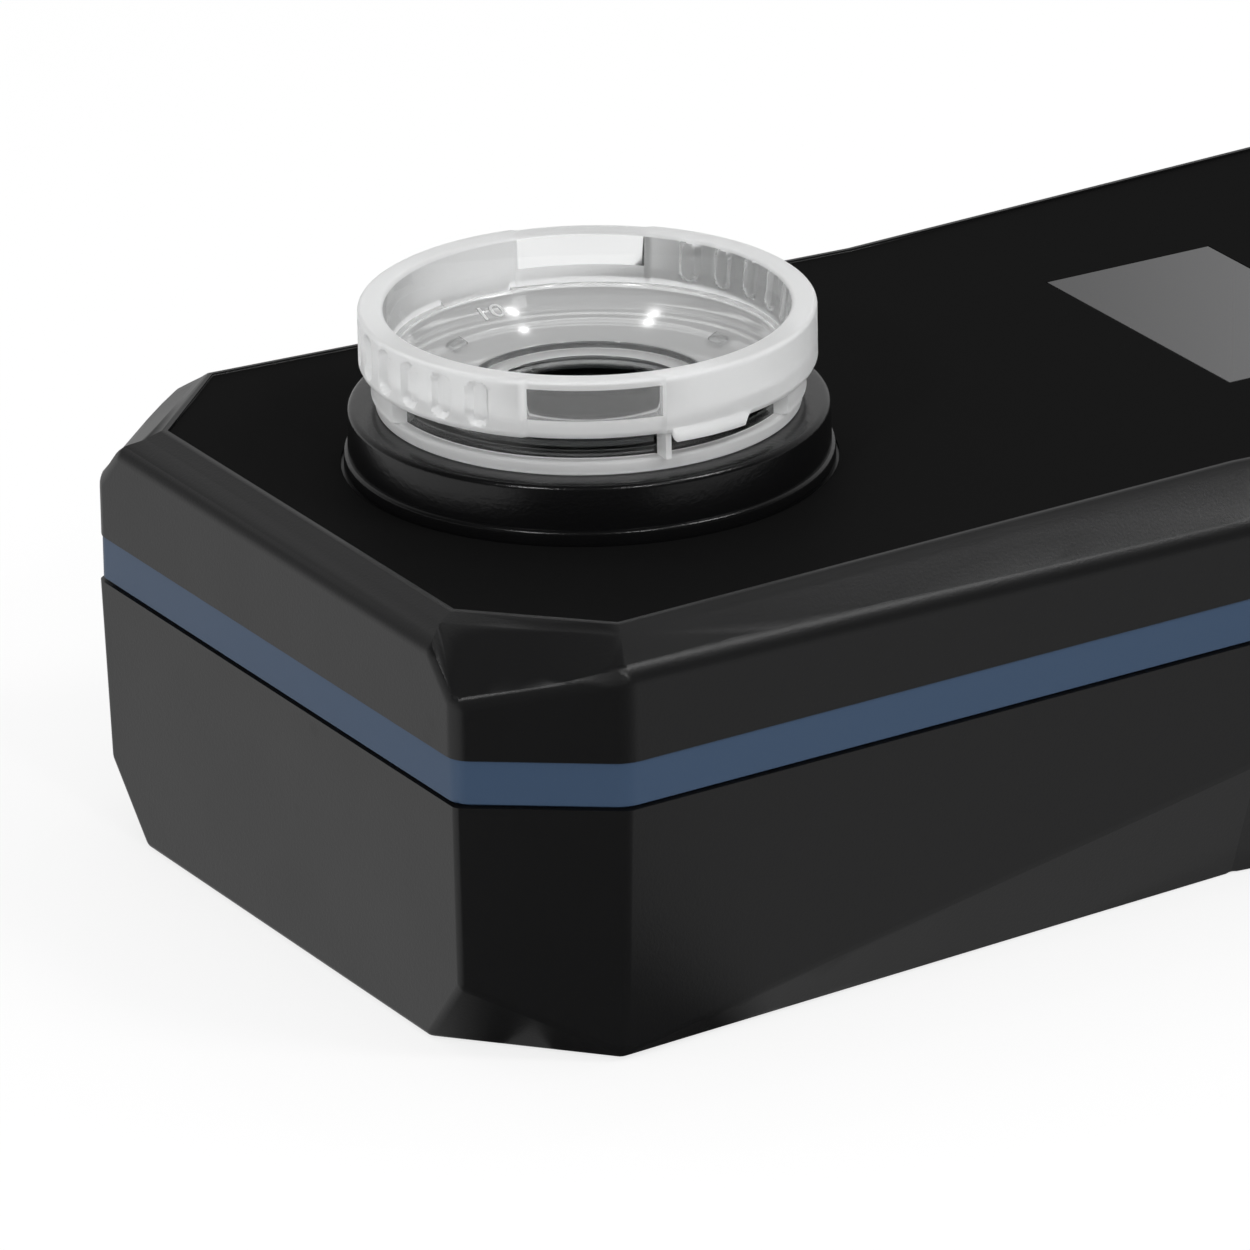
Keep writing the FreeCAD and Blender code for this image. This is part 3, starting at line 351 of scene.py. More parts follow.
for name, values in LAMPS.items():
    make_lamp(name, **values)
print("lamps", len(LAMPS))

# %% [markdown]
# Two effects are shared by most finishes, so each is a node group. The first is the fine grain
# that spark erosion leaves in a mould: a small noise that a Bump node turns into a texture. The
# second is handling: faint cloudy patches and hairline scratches that change gloss and colour.


# %% Shared effects
def spark_grain_group():
    group, given, made = new_group(
        "spark_grain", [("Grain", "NodeSocketFloat", 3000.0)],
        [("Height", "NodeSocketFloat"), ("Fleck", "NodeSocketFloat")])
    place = group.nodes.new("ShaderNodeTexCoord")
    noise = add(group, "ShaderNodeTexNoise", Detail=3.0, Roughness=0.6)
    cells = group.nodes.new("ShaderNodeTexVoronoi")
    for texture in (noise, cells):
        group.links.new(place.outputs["Object"], texture.inputs["Vector"])
        group.links.new(given.outputs["Grain"], texture.inputs["Scale"])
    fleck = group.nodes.new("ShaderNodeMapRange")
    fleck.inputs["From Min"].default_value = 0.05
    fleck.inputs["From Max"].default_value = 0.6
    group.links.new(cells.outputs["Distance"], fleck.inputs["Value"])
    group.links.new(noise.outputs["Fac"], made.inputs["Height"])
    group.links.new(fleck.outputs["Result"], made.inputs["Fleck"])
    return group


def handling_group():
    group, given, made = new_group(
        "handling", [("Color", "NodeSocketColor", (0.02, 0.02, 0.02, 1)),
                     ("Roughness", "NodeSocketFloat", 0.5),
                     ("Cloud", "NodeSocketFloat", 0.1),
                     ("Scratch", "NodeSocketFloat", 0.1)],
        [("Color", "NodeSocketColor"), ("Roughness", "NodeSocketFloat")])
    place = group.nodes.new("ShaderNodeTexCoord")
    cloud = add(group, "ShaderNodeTexNoise", Scale=60.0, Detail=4.0, Roughness=0.55)
    group.links.new(place.outputs["Object"], cloud.inputs["Vector"])
    centred = arithmetic(group, "SUBTRACT", cloud.outputs["Fac"], 0.5)
    change = arithmetic(group, "MULTIPLY", centred, given.outputs["Cloud"])
    stretch = group.nodes.new("ShaderNodeMapping")
    stretch.inputs["Rotation"].default_value = (0.3, 0.2, 0.7)
    stretch.inputs["Scale"].default_value = (1.0, 24.0, 1.0)
    group.links.new(place.outputs["Object"], stretch.inputs["Vector"])
    hair = add(group, "ShaderNodeTexNoise", Scale=140.0, Detail=2.0)
    group.links.new(stretch.outputs[0], hair.inputs["Vector"])
    thin = group.nodes.new("ShaderNodeMapRange")
    thin.inputs["From Min"].default_value = 0.70
    thin.inputs["From Max"].default_value = 0.76
    group.links.new(hair.outputs["Fac"], thin.inputs["Value"])
    scratch = arithmetic(group, "MULTIPLY", thin.outputs["Result"], given.outputs["Scratch"])
    rough = arithmetic(group, "ADD", given.outputs["Roughness"], change)
    rough = arithmetic(group, "ADD", rough, scratch)
    group.links.new(rough, made.inputs["Roughness"])
    lighter = arithmetic(group, "MULTIPLY", scratch, 0.6)
    tint = arithmetic(group, "ADD", lighter, arithmetic(group, "MULTIPLY", change, 0.5))
    tint = arithmetic(group, "ADD", tint, 1.0)
    colour = group.nodes.new("ShaderNodeVectorMath")
    colour.operation = "SCALE"
    group.links.new(given.outputs["Color"], colour.inputs[0])
    group.links.new(tint, colour.inputs["Scale"])
    group.links.new(colour.outputs[0], made.inputs["Color"])
    return group


SPARK_GRAIN = spark_grain_group()
HANDLING = handling_group()
print("groups", len(bpy.data.node_groups))

# %% [markdown]
# Every finish is one Principled BSDF. The maker below feeds it from the two groups and sets what
# is the same all over, such as the specular level, on the shader's own sockets.


# %% Finish maker
def group_node(tree, group, **sockets):
    node = tree.nodes.new("ShaderNodeGroup")
    node.node_tree = group
    for name, value in sockets.items():
        node.inputs[name].default_value = value
    return node


def finish(name, colour, roughness, grain=3000.0, depth=0.01, cloud=0.08, scratch=0.0, **sockets):
    """A moulded or printed finish: its colour, gloss, grain depth in mm and signs of handling."""
    material = bpy.data.materials.new(name)
    material.use_nodes = True
    tree = material.node_tree
    shader = tree.nodes["Principled BSDF"]
    worn = group_node(tree, HANDLING, Color=(*colour, 1), Roughness=roughness, Cloud=cloud,
                      Scratch=scratch)
    tree.links.new(worn.outputs["Color"], shader.inputs["Base Color"])
    tree.links.new(worn.outputs["Roughness"], shader.inputs["Roughness"])
    if depth:
        texture = group_node(tree, SPARK_GRAIN, Grain=grain)
        bump = add(tree, "ShaderNodeBump", Strength=1.0, Distance=depth * MM)
        tree.links.new(texture.outputs["Height"], bump.inputs["Height"])
        tree.links.new(bump.outputs["Normal"], shader.inputs["Normal"])
    for socket, value in sockets.items():
        shader.inputs[socket.replace("_", " ")].default_value = value
    return material


# %% [markdown]
# The finishes are named after the moulded and bought parts of the photometer. The housing is
# nearly black with a fine grain, the band is painted blue-grey, the label is a dead matt film,
# and the collar is polished.

# %% Finishes
FINISHES = {
    "black_plastic": finish("black_plastic", (0.005, 0.005, 0.0053), 0.36, 3200, 0.016, 0.10, 0.05,
                            Specular_IOR_Level=0.45),
    "blue_band": finish("blue_band", (0.026, 0.055, 0.107), 0.45, 4000, 0.006, 0.06, 0.0,
                        Specular_IOR_Level=0.45),
    "label_film": finish("label_film", (0.0062, 0.0062, 0.0062), 0.62, 2500, 0.002, 0.03, 0.02,
                         Specular_IOR_Level=0.01),
    "gloss_black": finish("gloss_black", (0.003, 0.003, 0.0032), 0.24, 1900, 0.030, 0.06, 0.03,
                          Specular_IOR_Level=0.5),
    "display_glass": finish("display_glass", (0.30, 0.31, 0.29), 0.35, 0, 0, 0.02),
    "white_diffuser": finish("white_diffuser", (0.75, 0.75, 0.73), 0.5, 1500, 0.004),
    "grey_rubber": finish("grey_rubber", (0.14, 0.14, 0.145), 0.7, 2000, 0.01),
    "circuit_board": finish("circuit_board", (0.012, 0.075, 0.03), 0.35, 900, 0.004, 0.2),
    "chip": finish("chip", (0.012, 0.012, 0.013), 0.55, 2500, 0.006),
    "cell_jacket": finish("cell_jacket", (0.06, 0.10, 0.16), 0.32, 0, 0, 0.1, 0.1),
    "spring_metal": finish("spring_metal", (0.62, 0.60, 0.55), 0.28, 0, 0, 0.1, 0.2, Metallic=1.0),
    "screw_steel": finish("screw_steel", (0.45, 0.45, 0.46), 0.3, 2000, 0.003, 0.1, 0.2,
                          Metallic=1.0),
    "key_rubber": finish("key_rubber", (0.035, 0.036, 0.038), 0.6, 2600, 0.01, 0.08, 0.02),
    "seal_rubber": finish("seal_rubber", (0.02, 0.02, 0.02), 0.65, 2200, 0.008),
}
SYMBOL_PRINT = finish("symbol_print", (0.62, 0.62, 0.62), 0.5, 0, 0, 0.03)
print("finishes", len(FINISHES))

# %% [markdown]
# The display window is a smooth sheet over a grey panel. What is seen of it is mostly the
# backdrop's reflection, so it is lighter than the matt label around it. A painted reflection is
# added to its colour as well: it runs from dark to light on a slant across the window.

# %% Window finish with painted reflection
# Painted reflection: the two ends of a colour gradient that stands in for a reflection.
PAINTED_REFLECTION_DARK = (0.020, 0.020, 0.021, 1)
PAINTED_REFLECTION_LIGHT = (0.085, 0.085, 0.087, 1)
PAINTED_REFLECTION_START = 0.006
PAINTED_REFLECTION_END = -0.045


def window_with_painted_reflection():
    material = bpy.data.materials.new("window")
    material.use_nodes = True
    tree = material.node_tree
    shader = tree.nodes["Principled BSDF"]
    shader.inputs["Roughness"].default_value = 0.12
    shader.inputs["IOR"].default_value = 1.49
    place = tree.nodes.new("ShaderNodeTexCoord")
    split = tree.nodes.new("ShaderNodeSeparateXYZ")
    tree.links.new(place.outputs["Object"], split.inputs[0])
    # Painted reflection: the base colour runs from dark to light on a slant across the window.
    fade = tree.nodes.new("ShaderNodeMapRange")
    fade.interpolation_type = "SMOOTHSTEP"
    fade.inputs["From Min"].default_value = PAINTED_REFLECTION_START
    fade.inputs["From Max"].default_value = PAINTED_REFLECTION_END
    slant = arithmetic(tree, "SUBTRACT", split.outputs["Y"],
                       arithmetic(tree, "MULTIPLY", split.outputs["X"], -0.6))
    tree.links.new(slant, fade.inputs["Value"])
    painted_reflection = tree.nodes.new("ShaderNodeMix")
    painted_reflection.data_type = "RGBA"
    painted_reflection.inputs["A"].default_value = PAINTED_REFLECTION_DARK
    painted_reflection.inputs["B"].default_value = PAINTED_REFLECTION_LIGHT
    tree.links.new(fade.outputs["Result"], painted_reflection.inputs["Factor"])
    tree.links.new(painted_reflection.outputs["Result"], shader.inputs["Base Color"])
    return material


FINISHES["window"] = window_with_painted_reflection()

# %% [markdown]
# The cuvette is clear, but its gripping faces come from a frosted mould, so they scatter light
# and look milky: that finish lets half of the light through and scatters the rest from a white
# surface. The bowl's floor and the two windows have a lighter haze. The walls of the well and the
# open groove get a dark tint that is painted shade, for the black block that stands behind them.

# %% Clear plastic
CLEAR_ROUGHNESS = 0.03
FROST_ROUGHNESS = 0.32
FROST_THROUGH = 0.5
HAZE_ROUGHNESS = 0.09
HAZE_THROUGH = 0.62
WINDOW_THROUGH = 0.86


def clear_finish(name, colour, roughness, through):
    """A see-through plastic; through is the share of light that isn't scattered."""
    material = bpy.data.materials.new(name)
    material.use_nodes = True
    tree = material.node_tree
    shader = tree.nodes["Principled BSDF"]
    shader.inputs["Base Color"].default_value = (*colour, 1)
    shader.inputs["IOR"].default_value = 1.49
    shader.inputs["Transmission Weight"].default_value = through
    grain = group_node(tree, SPARK_GRAIN, Grain=900.0)
    uneven = arithmetic(tree, "MULTIPLY", grain.outputs["Fleck"], 0.04)
    tree.links.new(arithmetic(tree, "ADD", uneven, roughness), shader.inputs["Roughness"])
    return material


FINISHES["clear_plastic"] = clear_finish("clear_plastic", (0.985, 0.99, 0.99), CLEAR_ROUGHNESS, 1.0)
FINISHES["frosted_plastic"] = clear_finish("frosted_plastic", (0.96, 0.965, 0.965),
                                           FROST_ROUGHNESS, FROST_THROUGH)
FINISHES["hazed_plastic"] = clear_finish("hazed_plastic", (0.93, 0.935, 0.935),
                                         HAZE_ROUGHNESS, HAZE_THROUGH)
FINISHES["window_plastic"] = clear_finish("window_plastic", (0.96, 0.965, 0.965),
                                          CLEAR_ROUGHNESS, WINDOW_THROUGH)
# Painted shade: a dark clear plastic that stands in for the shade of the black block behind it.
FINISHES["painted_shade_plastic"] = clear_finish("painted_shade_plastic", (0.10, 0.103, 0.103),
                                          HAZE_ROUGHNESS, 1.0)

# %% [markdown]
# A finished piece is a mesh at the origin with its place in its points. The helper below makes
# the object, turns its faces outwards, shades it smooth apart from its sharp edges, gives it its
# finish, and lets it ride on the body that carries it.

# %% Piece helper
SHARP_ANGLE = math.radians(32)


def new_piece(bm, name, body, slot, stands_for=(), material=None, turn_out=True):
    if turn_out:
        bmesh.ops.recalc_face_normals(bm, faces=bm.faces)
    mesh = bpy.data.meshes.new(name)
    bm.to_mesh(mesh)
    bm.free()
    mesh.shade_smooth()
    mesh.set_sharp_from_angle(angle=SHARP_ANGLE)
    mesh.materials.append(material or FINISHES[slot])
    piece = bpy.data.objects.new(name, mesh)
    bpy.context.scene.collection.objects.link(piece)
    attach(piece, body)
    if stands_for:
        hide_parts(*stands_for)
    return piece


def copy_of(node):
    """A merged copy of a node's mesh, with its flat faces made whole again."""
    bm = bmesh.new()
    bm.from_mesh(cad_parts[node].data)
    bmesh.ops.remove_doubles(bm, verts=bm.verts, dist=0.002 * MM)
    bmesh.ops.dissolve_limit(bm, angle_limit=math.radians(0.7), verts=bm.verts, edges=bm.edges,
                             use_dissolve_boundaries=False)
    return bm


def points_of(made):
    """The points among the parts that an operator has made."""
    return [part for part in made if isinstance(part, bmesh.types.BMVert)]


def pour_into(whole, part):
    """Add one bmesh to another, and let go of the first."""
    mesh = bpy.data.meshes.new("part")
    part.to_mesh(mesh)
    part.free()
    whole.from_mesh(mesh)
    bpy.data.meshes.remove(mesh)


# %% [markdown]
# The shells are moulded with rounded edges about 1 mm wide. A rounded edge catches the light,
# so it matters more than its size. Rounding the shell itself is risky, because it has many holes
# and posts. So a plain outer form is made first: the hull of each half of the shell, joined at
# the waist. Its few creases are bevelled, and the shell is cut down to it with a Boolean.

# %% Outer form of a shell
CREASE_ROUND = {"upper_shell": 1.3, "lower_shell": 1.5}
BAND_ROUND = 1.1
LIP_ROUND = 0.2
CREASE_ANGLE = math.radians(12)
SKIN_PUSH = 0.004
WAIST_Y = -3.0 * MM


def half_hull(node, side):
    """The hull of the part of a node on one side of the waist, open at the waist."""
    half = copy_of(node)
    bmesh.ops.bisect_plane(half, geom=half.verts[:] + half.edges[:] + half.faces[:],
                           plane_co=(0, WAIST_Y, 0), plane_no=(0, -side, 0), clear_outer=True)
    bmesh.ops.delete(half, geom=half.edges[:], context="EDGES_FACES")
    hull = bmesh.ops.convex_hull(half, input=half.verts, use_existing_faces=False)
    spare = set(points_of(hull["geom_interior"] + hull["geom_unused"]))
    bmesh.ops.delete(half, geom=list(spare), context="VERTS")
    at_waist = [f for f in half.faces
                if all(abs(v.co.y - WAIST_Y) < 0.001 * MM for v in f.verts)]
    bmesh.ops.delete(half, geom=at_waist, context="FACES")
    return half


def outer_form(node):
    """A closed plain form round a whole shell, a hair larger than the shell."""
    whole = bmesh.new()
    for side in (1, -1):
        pour_into(whole, half_hull(node, side))
    bmesh.ops.remove_doubles(whole, verts=whole.verts, dist=0.002 * MM)
    bmesh.ops.dissolve_limit(whole, angle_limit=math.radians(1.0), verts=whole.verts,
                             edges=whole.edges, use_dissolve_boundaries=False)
    bmesh.ops.recalc_face_normals(whole, faces=whole.faces)
    whole.normal_update()
    for vert in whole.verts:
        vert.co += vert.normal * SKIN_PUSH * MM
    return whole


def round_creases(form, width, is_crease):
    """Bevel the sharp edges that a rule picks."""
    form.normal_update()
    chosen = [e for e in form.edges if len(e.link_faces) == 2
              and e.calc_face_angle() > CREASE_ANGLE and is_crease(e)]
    bmesh.ops.bevel(form, geom=chosen, offset=width * MM, offset_type="OFFSET", segments=4,
                    profile=0.5, affect="EDGES", clamp_overlap=True, material=-1)
    return len(chosen)


# %% [markdown]
# The Boolean keeps what the shell and the rounded form share. Its result becomes the new mesh,
# and weighted normals keep the large faces flat while the narrow bevels turn between them.


# %% Shells
LIP_HEIGHT = 1.2
POSTS_WITHIN = 0.079


def keep_shared(piece, form):
    """Cut a piece down to a form, and keep the result as the piece's mesh."""
    mesh = bpy.data.meshes.new("form")
    form.to_mesh(mesh)
    form.free()
    tool = bpy.data.objects.new("form", mesh)
    bpy.context.scene.collection.objects.link(tool)
    cut = piece.modifiers.new("rounded", "BOOLEAN")
    cut.operation = "INTERSECT"
    cut.solver = "EXACT"
    cut.object = tool
    bpy.context.view_layer.update()
    rounded = bpy.data.meshes.new_from_object(
        piece.evaluated_get(bpy.context.evaluated_depsgraph_get()))
    piece.modifiers.remove(cut)
    bpy.data.objects.remove(tool)
    bpy.data.meshes.remove(mesh)
    rounded.name = piece.data.name
    rounded.shade_smooth()
    rounded.set_sharp_from_angle(angle=SHARP_ANGLE)
    piece.data = rounded
    weighted = piece.modifiers.new("weighted_normals", "WEIGHTED_NORMAL")
    weighted.keep_sharp = True
    weighted.weight = 100


def make_shell(node, name, parting_level, lip_level):
    """A shell with rounded creases; its parting edge and its lip stay nearly sharp."""
    form = outer_form(node)

    def main_crease(edge):
        low, high = sorted(v.co.z for v in edge.verts)
        at_parting = max(abs(low - parting_level), abs(high - parting_level)) < 0.1 * MM
        at_post = (node == "upper_shell" and low < parting_level - 1 * MM
                   and min(abs(v.co.y) for v in edge.verts) < POSTS_WITHIN)
        return not at_parting and not at_post and high < lip_level - LIP_HEIGHT * MM

    count = round_creases(form, CREASE_ROUND[node], main_crease)
    count += round_creases(form, LIP_ROUND, lambda e: min(v.co.z for v in e.verts)
                           > lip_level - 0.1 * MM)
    piece = new_piece(copy_of(node), name, "housing", "black_plastic", [node], turn_out=False)
    keep_shared(piece, form)
    print(name, "creases rounded", count, "faces", len(piece.data.polygons))
    return piece


UPPER_LOW, UPPER_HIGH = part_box("upper_shell")
LOWER_LOW, LOWER_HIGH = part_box("lower_shell")
BAND_LOW, BAND_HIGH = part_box("trim_band")
LABEL_LOW, LABEL_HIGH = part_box("front_label")
make_shell("upper_shell", "upper_shell_moulding", BAND_HIGH.z, UPPER_HIGH.z)
make_shell("lower_shell", "lower_shell_moulding", LOWER_HIGH.z, 1.0)

# %% [markdown]
# The band turns the same corners as the shells, so its upright outer edges get the same round.


# %% Trim band
BAND_OUTSIDE = (0.0335, 0.0825)


def make_band():
    bm = copy_of("trim_band")
    upright = []
    for edge in bm.edges:
        low, high = (v.co for v in edge.verts)
        straight = (low - high).to_2d().length < 0.01 * MM
        outside = edge.calc_face_angle_signed() > CREASE_ANGLE
        if straight and outside and (abs(low.x) > BAND_OUTSIDE[0] or abs(low.y) > BAND_OUTSIDE[1]):
            upright.append(edge)
    bmesh.ops.bevel(bm, geom=upright, offset=BAND_ROUND * MM, offset_type="OFFSET", segments=4,
                    profile=0.5, affect="EDGES", clamp_overlap=True, material=-1)
    print("band edges rounded", len(upright))
    return new_piece(bm, "trim_band_painted", "housing", "blue_band", ["trim_band"])


make_band()

# %% [markdown]
# Round pieces are turned: a half section is drawn as a wire in millimetres, its corners are
# rounded by a vertex bevel, and the wire is spun about the axis. One spin of many steps is slow,
# because each step handles all that was spun before. So an eighth is spun, and then doubled
# three times.

# %% Turning helper
CUP_LOW, CUP_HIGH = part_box("cuvette")
COLLAR_LOW, COLLAR_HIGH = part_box("collar_ring")
CUP_CENTRE = Vector(((COLLAR_LOW.x + COLLAR_HIGH.x) / 2, (COLLAR_LOW.y + COLLAR_HIGH.y) / 2, 0))
EIGHTH = math.tau / 8


def turned(section, level, steps, closed=True):
    """Spin a section of (radius, height, rounding) points in mm, about the cuvette's axis."""
    bm = bmesh.new()
    ends = []
    for radius, height, rounding in section:
        vert = bm.verts.new(CUP_CENTRE + Vector((radius * MM, 0, level + height * MM)))
        ends.append((vert, rounding))
    for i in range(len(ends) - (0 if closed else 1)):
        bm.edges.new((ends[i][0], ends[(i + 1) % len(ends)][0]))
    for vert, rounding in ends:
        if rounding:
            bmesh.ops.bevel(bm, geom=[vert], offset=rounding * MM, offset_type="OFFSET",
                            segments=4, profile=0.5, affect="VERTICES", material=-1)
    bmesh.ops.spin(bm, geom=bm.verts[:] + bm.edges[:], cent=CUP_CENTRE, axis=(0, 0, 1),
                   angle=EIGHTH, steps=steps // 8, use_merge=False, use_duplicate=False)
    for doubling in range(3):
        made = bmesh.ops.duplicate(bm, geom=bm.verts[:] + bm.edges[:] + bm.faces[:])["geom"]
        bmesh.ops.rotate(bm, cent=CUP_CENTRE, verts=points_of(made),
                         matrix=Matrix.Rotation(EIGHTH * 2 ** doubling, 3, "Z"))
    bmesh.ops.remove_doubles(bm, verts=bm.verts, dist=0.002 * MM)
    return bm


# %% [markdown]
# The collar is a polished black ring: a foot flange that drops into a round cut in the label, a
# barrel, and a flat top that the cuvette's flange rests on. Its rounded edges show as thin light
# lines.

# %% Collar
COLLAR_FOOT = LABEL_LOW.z
COLLAR_RADIUS = (COLLAR_HIGH.x - COLLAR_LOW.x) / 2 / MM
COLLAR_HEIGHT = (COLLAR_HIGH.z - COLLAR_FOOT) / MM
COLLAR_SPIGOT = (COLLAR_FOOT - COLLAR_LOW.z) / MM
COLLAR_BORE = 19.6
SPIGOT_RADIUS = 21.6
COLLAR_STEPS = 192
COLLAR_FLANGE = 1.7


def make_collar():
    barrel = COLLAR_RADIUS - 0.4
    section = [
        (COLLAR_BORE, -COLLAR_SPIGOT, 0.2), (SPIGOT_RADIUS, -COLLAR_SPIGOT, 0.2),
        (SPIGOT_RADIUS, 0, 0), (COLLAR_RADIUS, 0, 0.1), (COLLAR_RADIUS, COLLAR_FLANGE, 0.4),
        (barrel, COLLAR_FLANGE, 0.1), (barrel - 0.05, COLLAR_HEIGHT, 0.6),
        (COLLAR_BORE, COLLAR_HEIGHT, 0.2),
    ]
    bm = turned(section, COLLAR_FOOT, COLLAR_STEPS)
    print("collar faces", len(bm.faces))
    return new_piece(bm, "collar_ring_polished", "housing", "gloss_black", ["collar_ring"])


make_collar()

# %% [markdown]
# The cuvette is one clear moulding: a foot flange, a groove, a grip skirt, a rim, a sloping
# bowl floor and a well with a narrow ledge round its mouth. It is turned first. Its skirt gets
# many short steps in height, so that the grip can be shaped in it.

# %% Cuvette section
CUP_FOOT = COLLAR_HIGH.z
CUP_RIM = (CUP_HIGH.z - CUP_FOOT) / MM
CUP_STEPS = 480
NECK = COLLAR_BORE - 0.3
NECK_INNER = NECK - 2.6
NECK_LOW = -6.6
SEAL_LOW, SEAL_HIGH, SEAL_BED = -4.15, -2.45, 18.05
FLANGE = 20.6
FLANGE_TOP = 1.4
GROOVE_BED = 19.7
SKIRT = (CUP_HIGH.x - CUP_LOW.x) / 2 / MM
SKIRT_LOW = 4.1
RIM_INNER = SKIRT - 2.4
FLOOR_FOOT = (18.8, 4.6)
WELL_MOUTH = (12.0, 1.5)
LEDGE = 0.7
WELL_RADIUS = 10.2
WELL_WALL = 1.4
WELL_FLOOR = (CUP_LOW.z - CUP_FOOT) / MM + WELL_WALL
SKIRT_STEPS = [4.6 + 0.2 * step for step in range(12)] + [7.5]
SKIRT_STEPS += [8.1 + 0.2 * step for step in range(7)]


def cup_section():
    """The half section, from the middle of the well's underside to the middle of its floor."""
    well_outer = WELL_RADIUS + WELL_WALL
    well_bottom = WELL_FLOOR - WELL_WALL
    under = LEDGE - WELL_WALL
    below = [
        (0, well_bottom, 0), (well_outer, well_bottom, 0.5), (well_outer, under, 0.4),
        (WELL_MOUTH[0] + WELL_WALL, under, 0.3), (NECK_INNER, 1.7, 0.4), (NECK_INNER, NECK_LOW, 0.2),
        (NECK, NECK_LOW, 0.4), (NECK, SEAL_LOW, 0.05), (SEAL_BED, SEAL_LOW, 0.05),
        (SEAL_BED, SEAL_HIGH, 0.05), (NECK, SEAL_HIGH, 0.05), (NECK, 0, 0),
    ]
    outside = [
        (FLANGE, 0, 0.2), (FLANGE, FLANGE_TOP, 0.4), (GROOVE_BED, FLANGE_TOP, 0.1),
        (GROOVE_BED, FLANGE_TOP + 0.7, 0), (GROOVE_BED, FLANGE_TOP + 1.4, 0),
        (GROOVE_BED, SKIRT_LOW, 0.1), (SKIRT - 0.25, SKIRT_LOW, 0.15),
    ]
    skirt = [(SKIRT, height, 0) for height in SKIRT_STEPS]
    inside = [
        (SKIRT, CUP_RIM, 0.45), (RIM_INNER, CUP_RIM, 0.35),
        (FLOOR_FOOT[0] + 0.35, FLOOR_FOOT[1] + 2.2, 0), (*FLOOR_FOOT, 0.6),
        (15.0, 2.9, 0.3), (*WELL_MOUTH, 0.25), (WELL_MOUTH[0], LEDGE, 0.1),
        (WELL_RADIUS, LEDGE, 0.15), (WELL_RADIUS - 0.2, WELL_FLOOR, 0.8), (0, WELL_FLOOR, 0),
    ]
    return below + outside + skirt + inside


# %% [markdown]
# The places round the grip are angles about the upright axis, counted from +X. The real
# moulding is the same after half a turn, so each feature is made twice: rounded grooves, a clear
# recessed window, a rib, and a smooth pad that hangs lower. The groove over the flange is open
# from one side of the window to the far side of the pad, and closed elsewhere.

# %% Cuvette grip
WINDOW_MIDDLE = 151.2
WINDOW_HALF = 17.7
WINDOW_RECESS = 0.35
RIB_MIDDLE = 170.3
RIB_HALF = 1.3
PAD_MIDDLE = 182.5
PAD_HALF = 10.9
PAD_DROP = 1.0
OPEN_MIDDLE = 150.8
OPEN_HALF = 63.7
SLOT_FIRST = 121.2
SLOT_PITCH = 11.0
SLOT_COUNT = 6
SLOT_HALF = 1.05
SLOT_DEPTH = 0.75
SLOT_LOW = CUP_RIM - 5.0
SLOT_HIGH = CUP_RIM - 0.8
SOFT_EDGE = 0.9


def angle_from(angle, middle):
    """The signed difference of two angles in degrees, for a form repeated every half turn."""
    return (angle - middle + 90) % 180 - 90


def smooth_edge(distance, softness):
    """1 inside, 0 outside, with a smooth step as wide as softness at distance 0."""
    share = min(1, max(0, 0.5 - distance / softness))
    return share * share * (3 - 2 * share)


def zone(angle, middle, half):
    """1 within a zone round the grip, 0 outside it."""
    return smooth_edge(abs(angle_from(angle, middle)) - half, SOFT_EDGE)


def slot_share(angle, height):
    """How deep in a grip slot a point of the skirt lies, from 0 to 1."""
    share = 0
    for index in range(SLOT_COUNT):
        aside = math.radians(angle_from(angle, SLOT_FIRST - index * SLOT_PITCH)) * SKIRT
        past = max(0, SLOT_LOW + SLOT_HALF - height, height - SLOT_HIGH + SLOT_HALF)
        share = max(share, smooth_edge(math.hypot(aside, past) - SLOT_HALF, 0.45))
    return share


def grip_shift(angle, radius, height):
    """How far a point of the turned form moves inwards and down, in mm."""
    on_skirt = height > SKIRT_LOW - 0.05 and radius > GROOVE_BED + 0.5
    in_groove = FLANGE_TOP + 0.05 < height < SKIRT_LOW - 0.05 and radius < FLANGE
    if on_skirt:
        inward = max(WINDOW_RECESS * zone(angle, WINDOW_MIDDLE, WINDOW_HALF),
                     SLOT_DEPTH * slot_share(angle, height))
        low_edge = smooth_edge(height - SKIRT_LOW - 0.8, 1.2)
        return inward, PAD_DROP * zone(angle, PAD_MIDDLE, PAD_HALF) * low_edge
    if in_groove:
        filled = 1 - zone(angle, OPEN_MIDDLE, OPEN_HALF)
        return -max(2.0 * zone(angle, RIB_MIDDLE, RIB_HALF), 1.3 * filled), 0
    return 0, 0


def shape_grip(bm):
    for vert in bm.verts:
        offset = Vector((vert.co.x - CUP_CENTRE.x, vert.co.y - CUP_CENTRE.y))
        radius = offset.length / MM
        height = (vert.co.z - CUP_FOOT) / MM
        if radius < GROOVE_BED - 0.01 or height < 0:
            continue
        angle = math.degrees(math.atan2(offset.y, offset.x))
        inward, down = grip_shift(angle, radius, height)
        scale = (radius - inward) / radius
        vert.co.x = CUP_CENTRE.x + offset.x * scale
        vert.co.y = CUP_CENTRE.y + offset.y * scale
        vert.co.z -= down * MM


# %% [markdown]
# The cuvette is one piece with five finishes. Each face takes the one of its zone: milky where it
# is gripped, hazy on the bowl's floor and in the windows, a dark tint of painted shade on the walls
# of the well and in the open part of the groove, and clear elsewhere.

# %% Finish zones
ZONE_FINISHES = ["frosted_plastic", "hazed_plastic", "window_plastic", "painted_shade_plastic"]
FROSTED, HAZED, WINDOWED, PAINTED_SHADE = 1, 2, 3, 4
WINDOW_LOW = 6.1
WINDOW_HIGH = CUP_RIM - 0.8


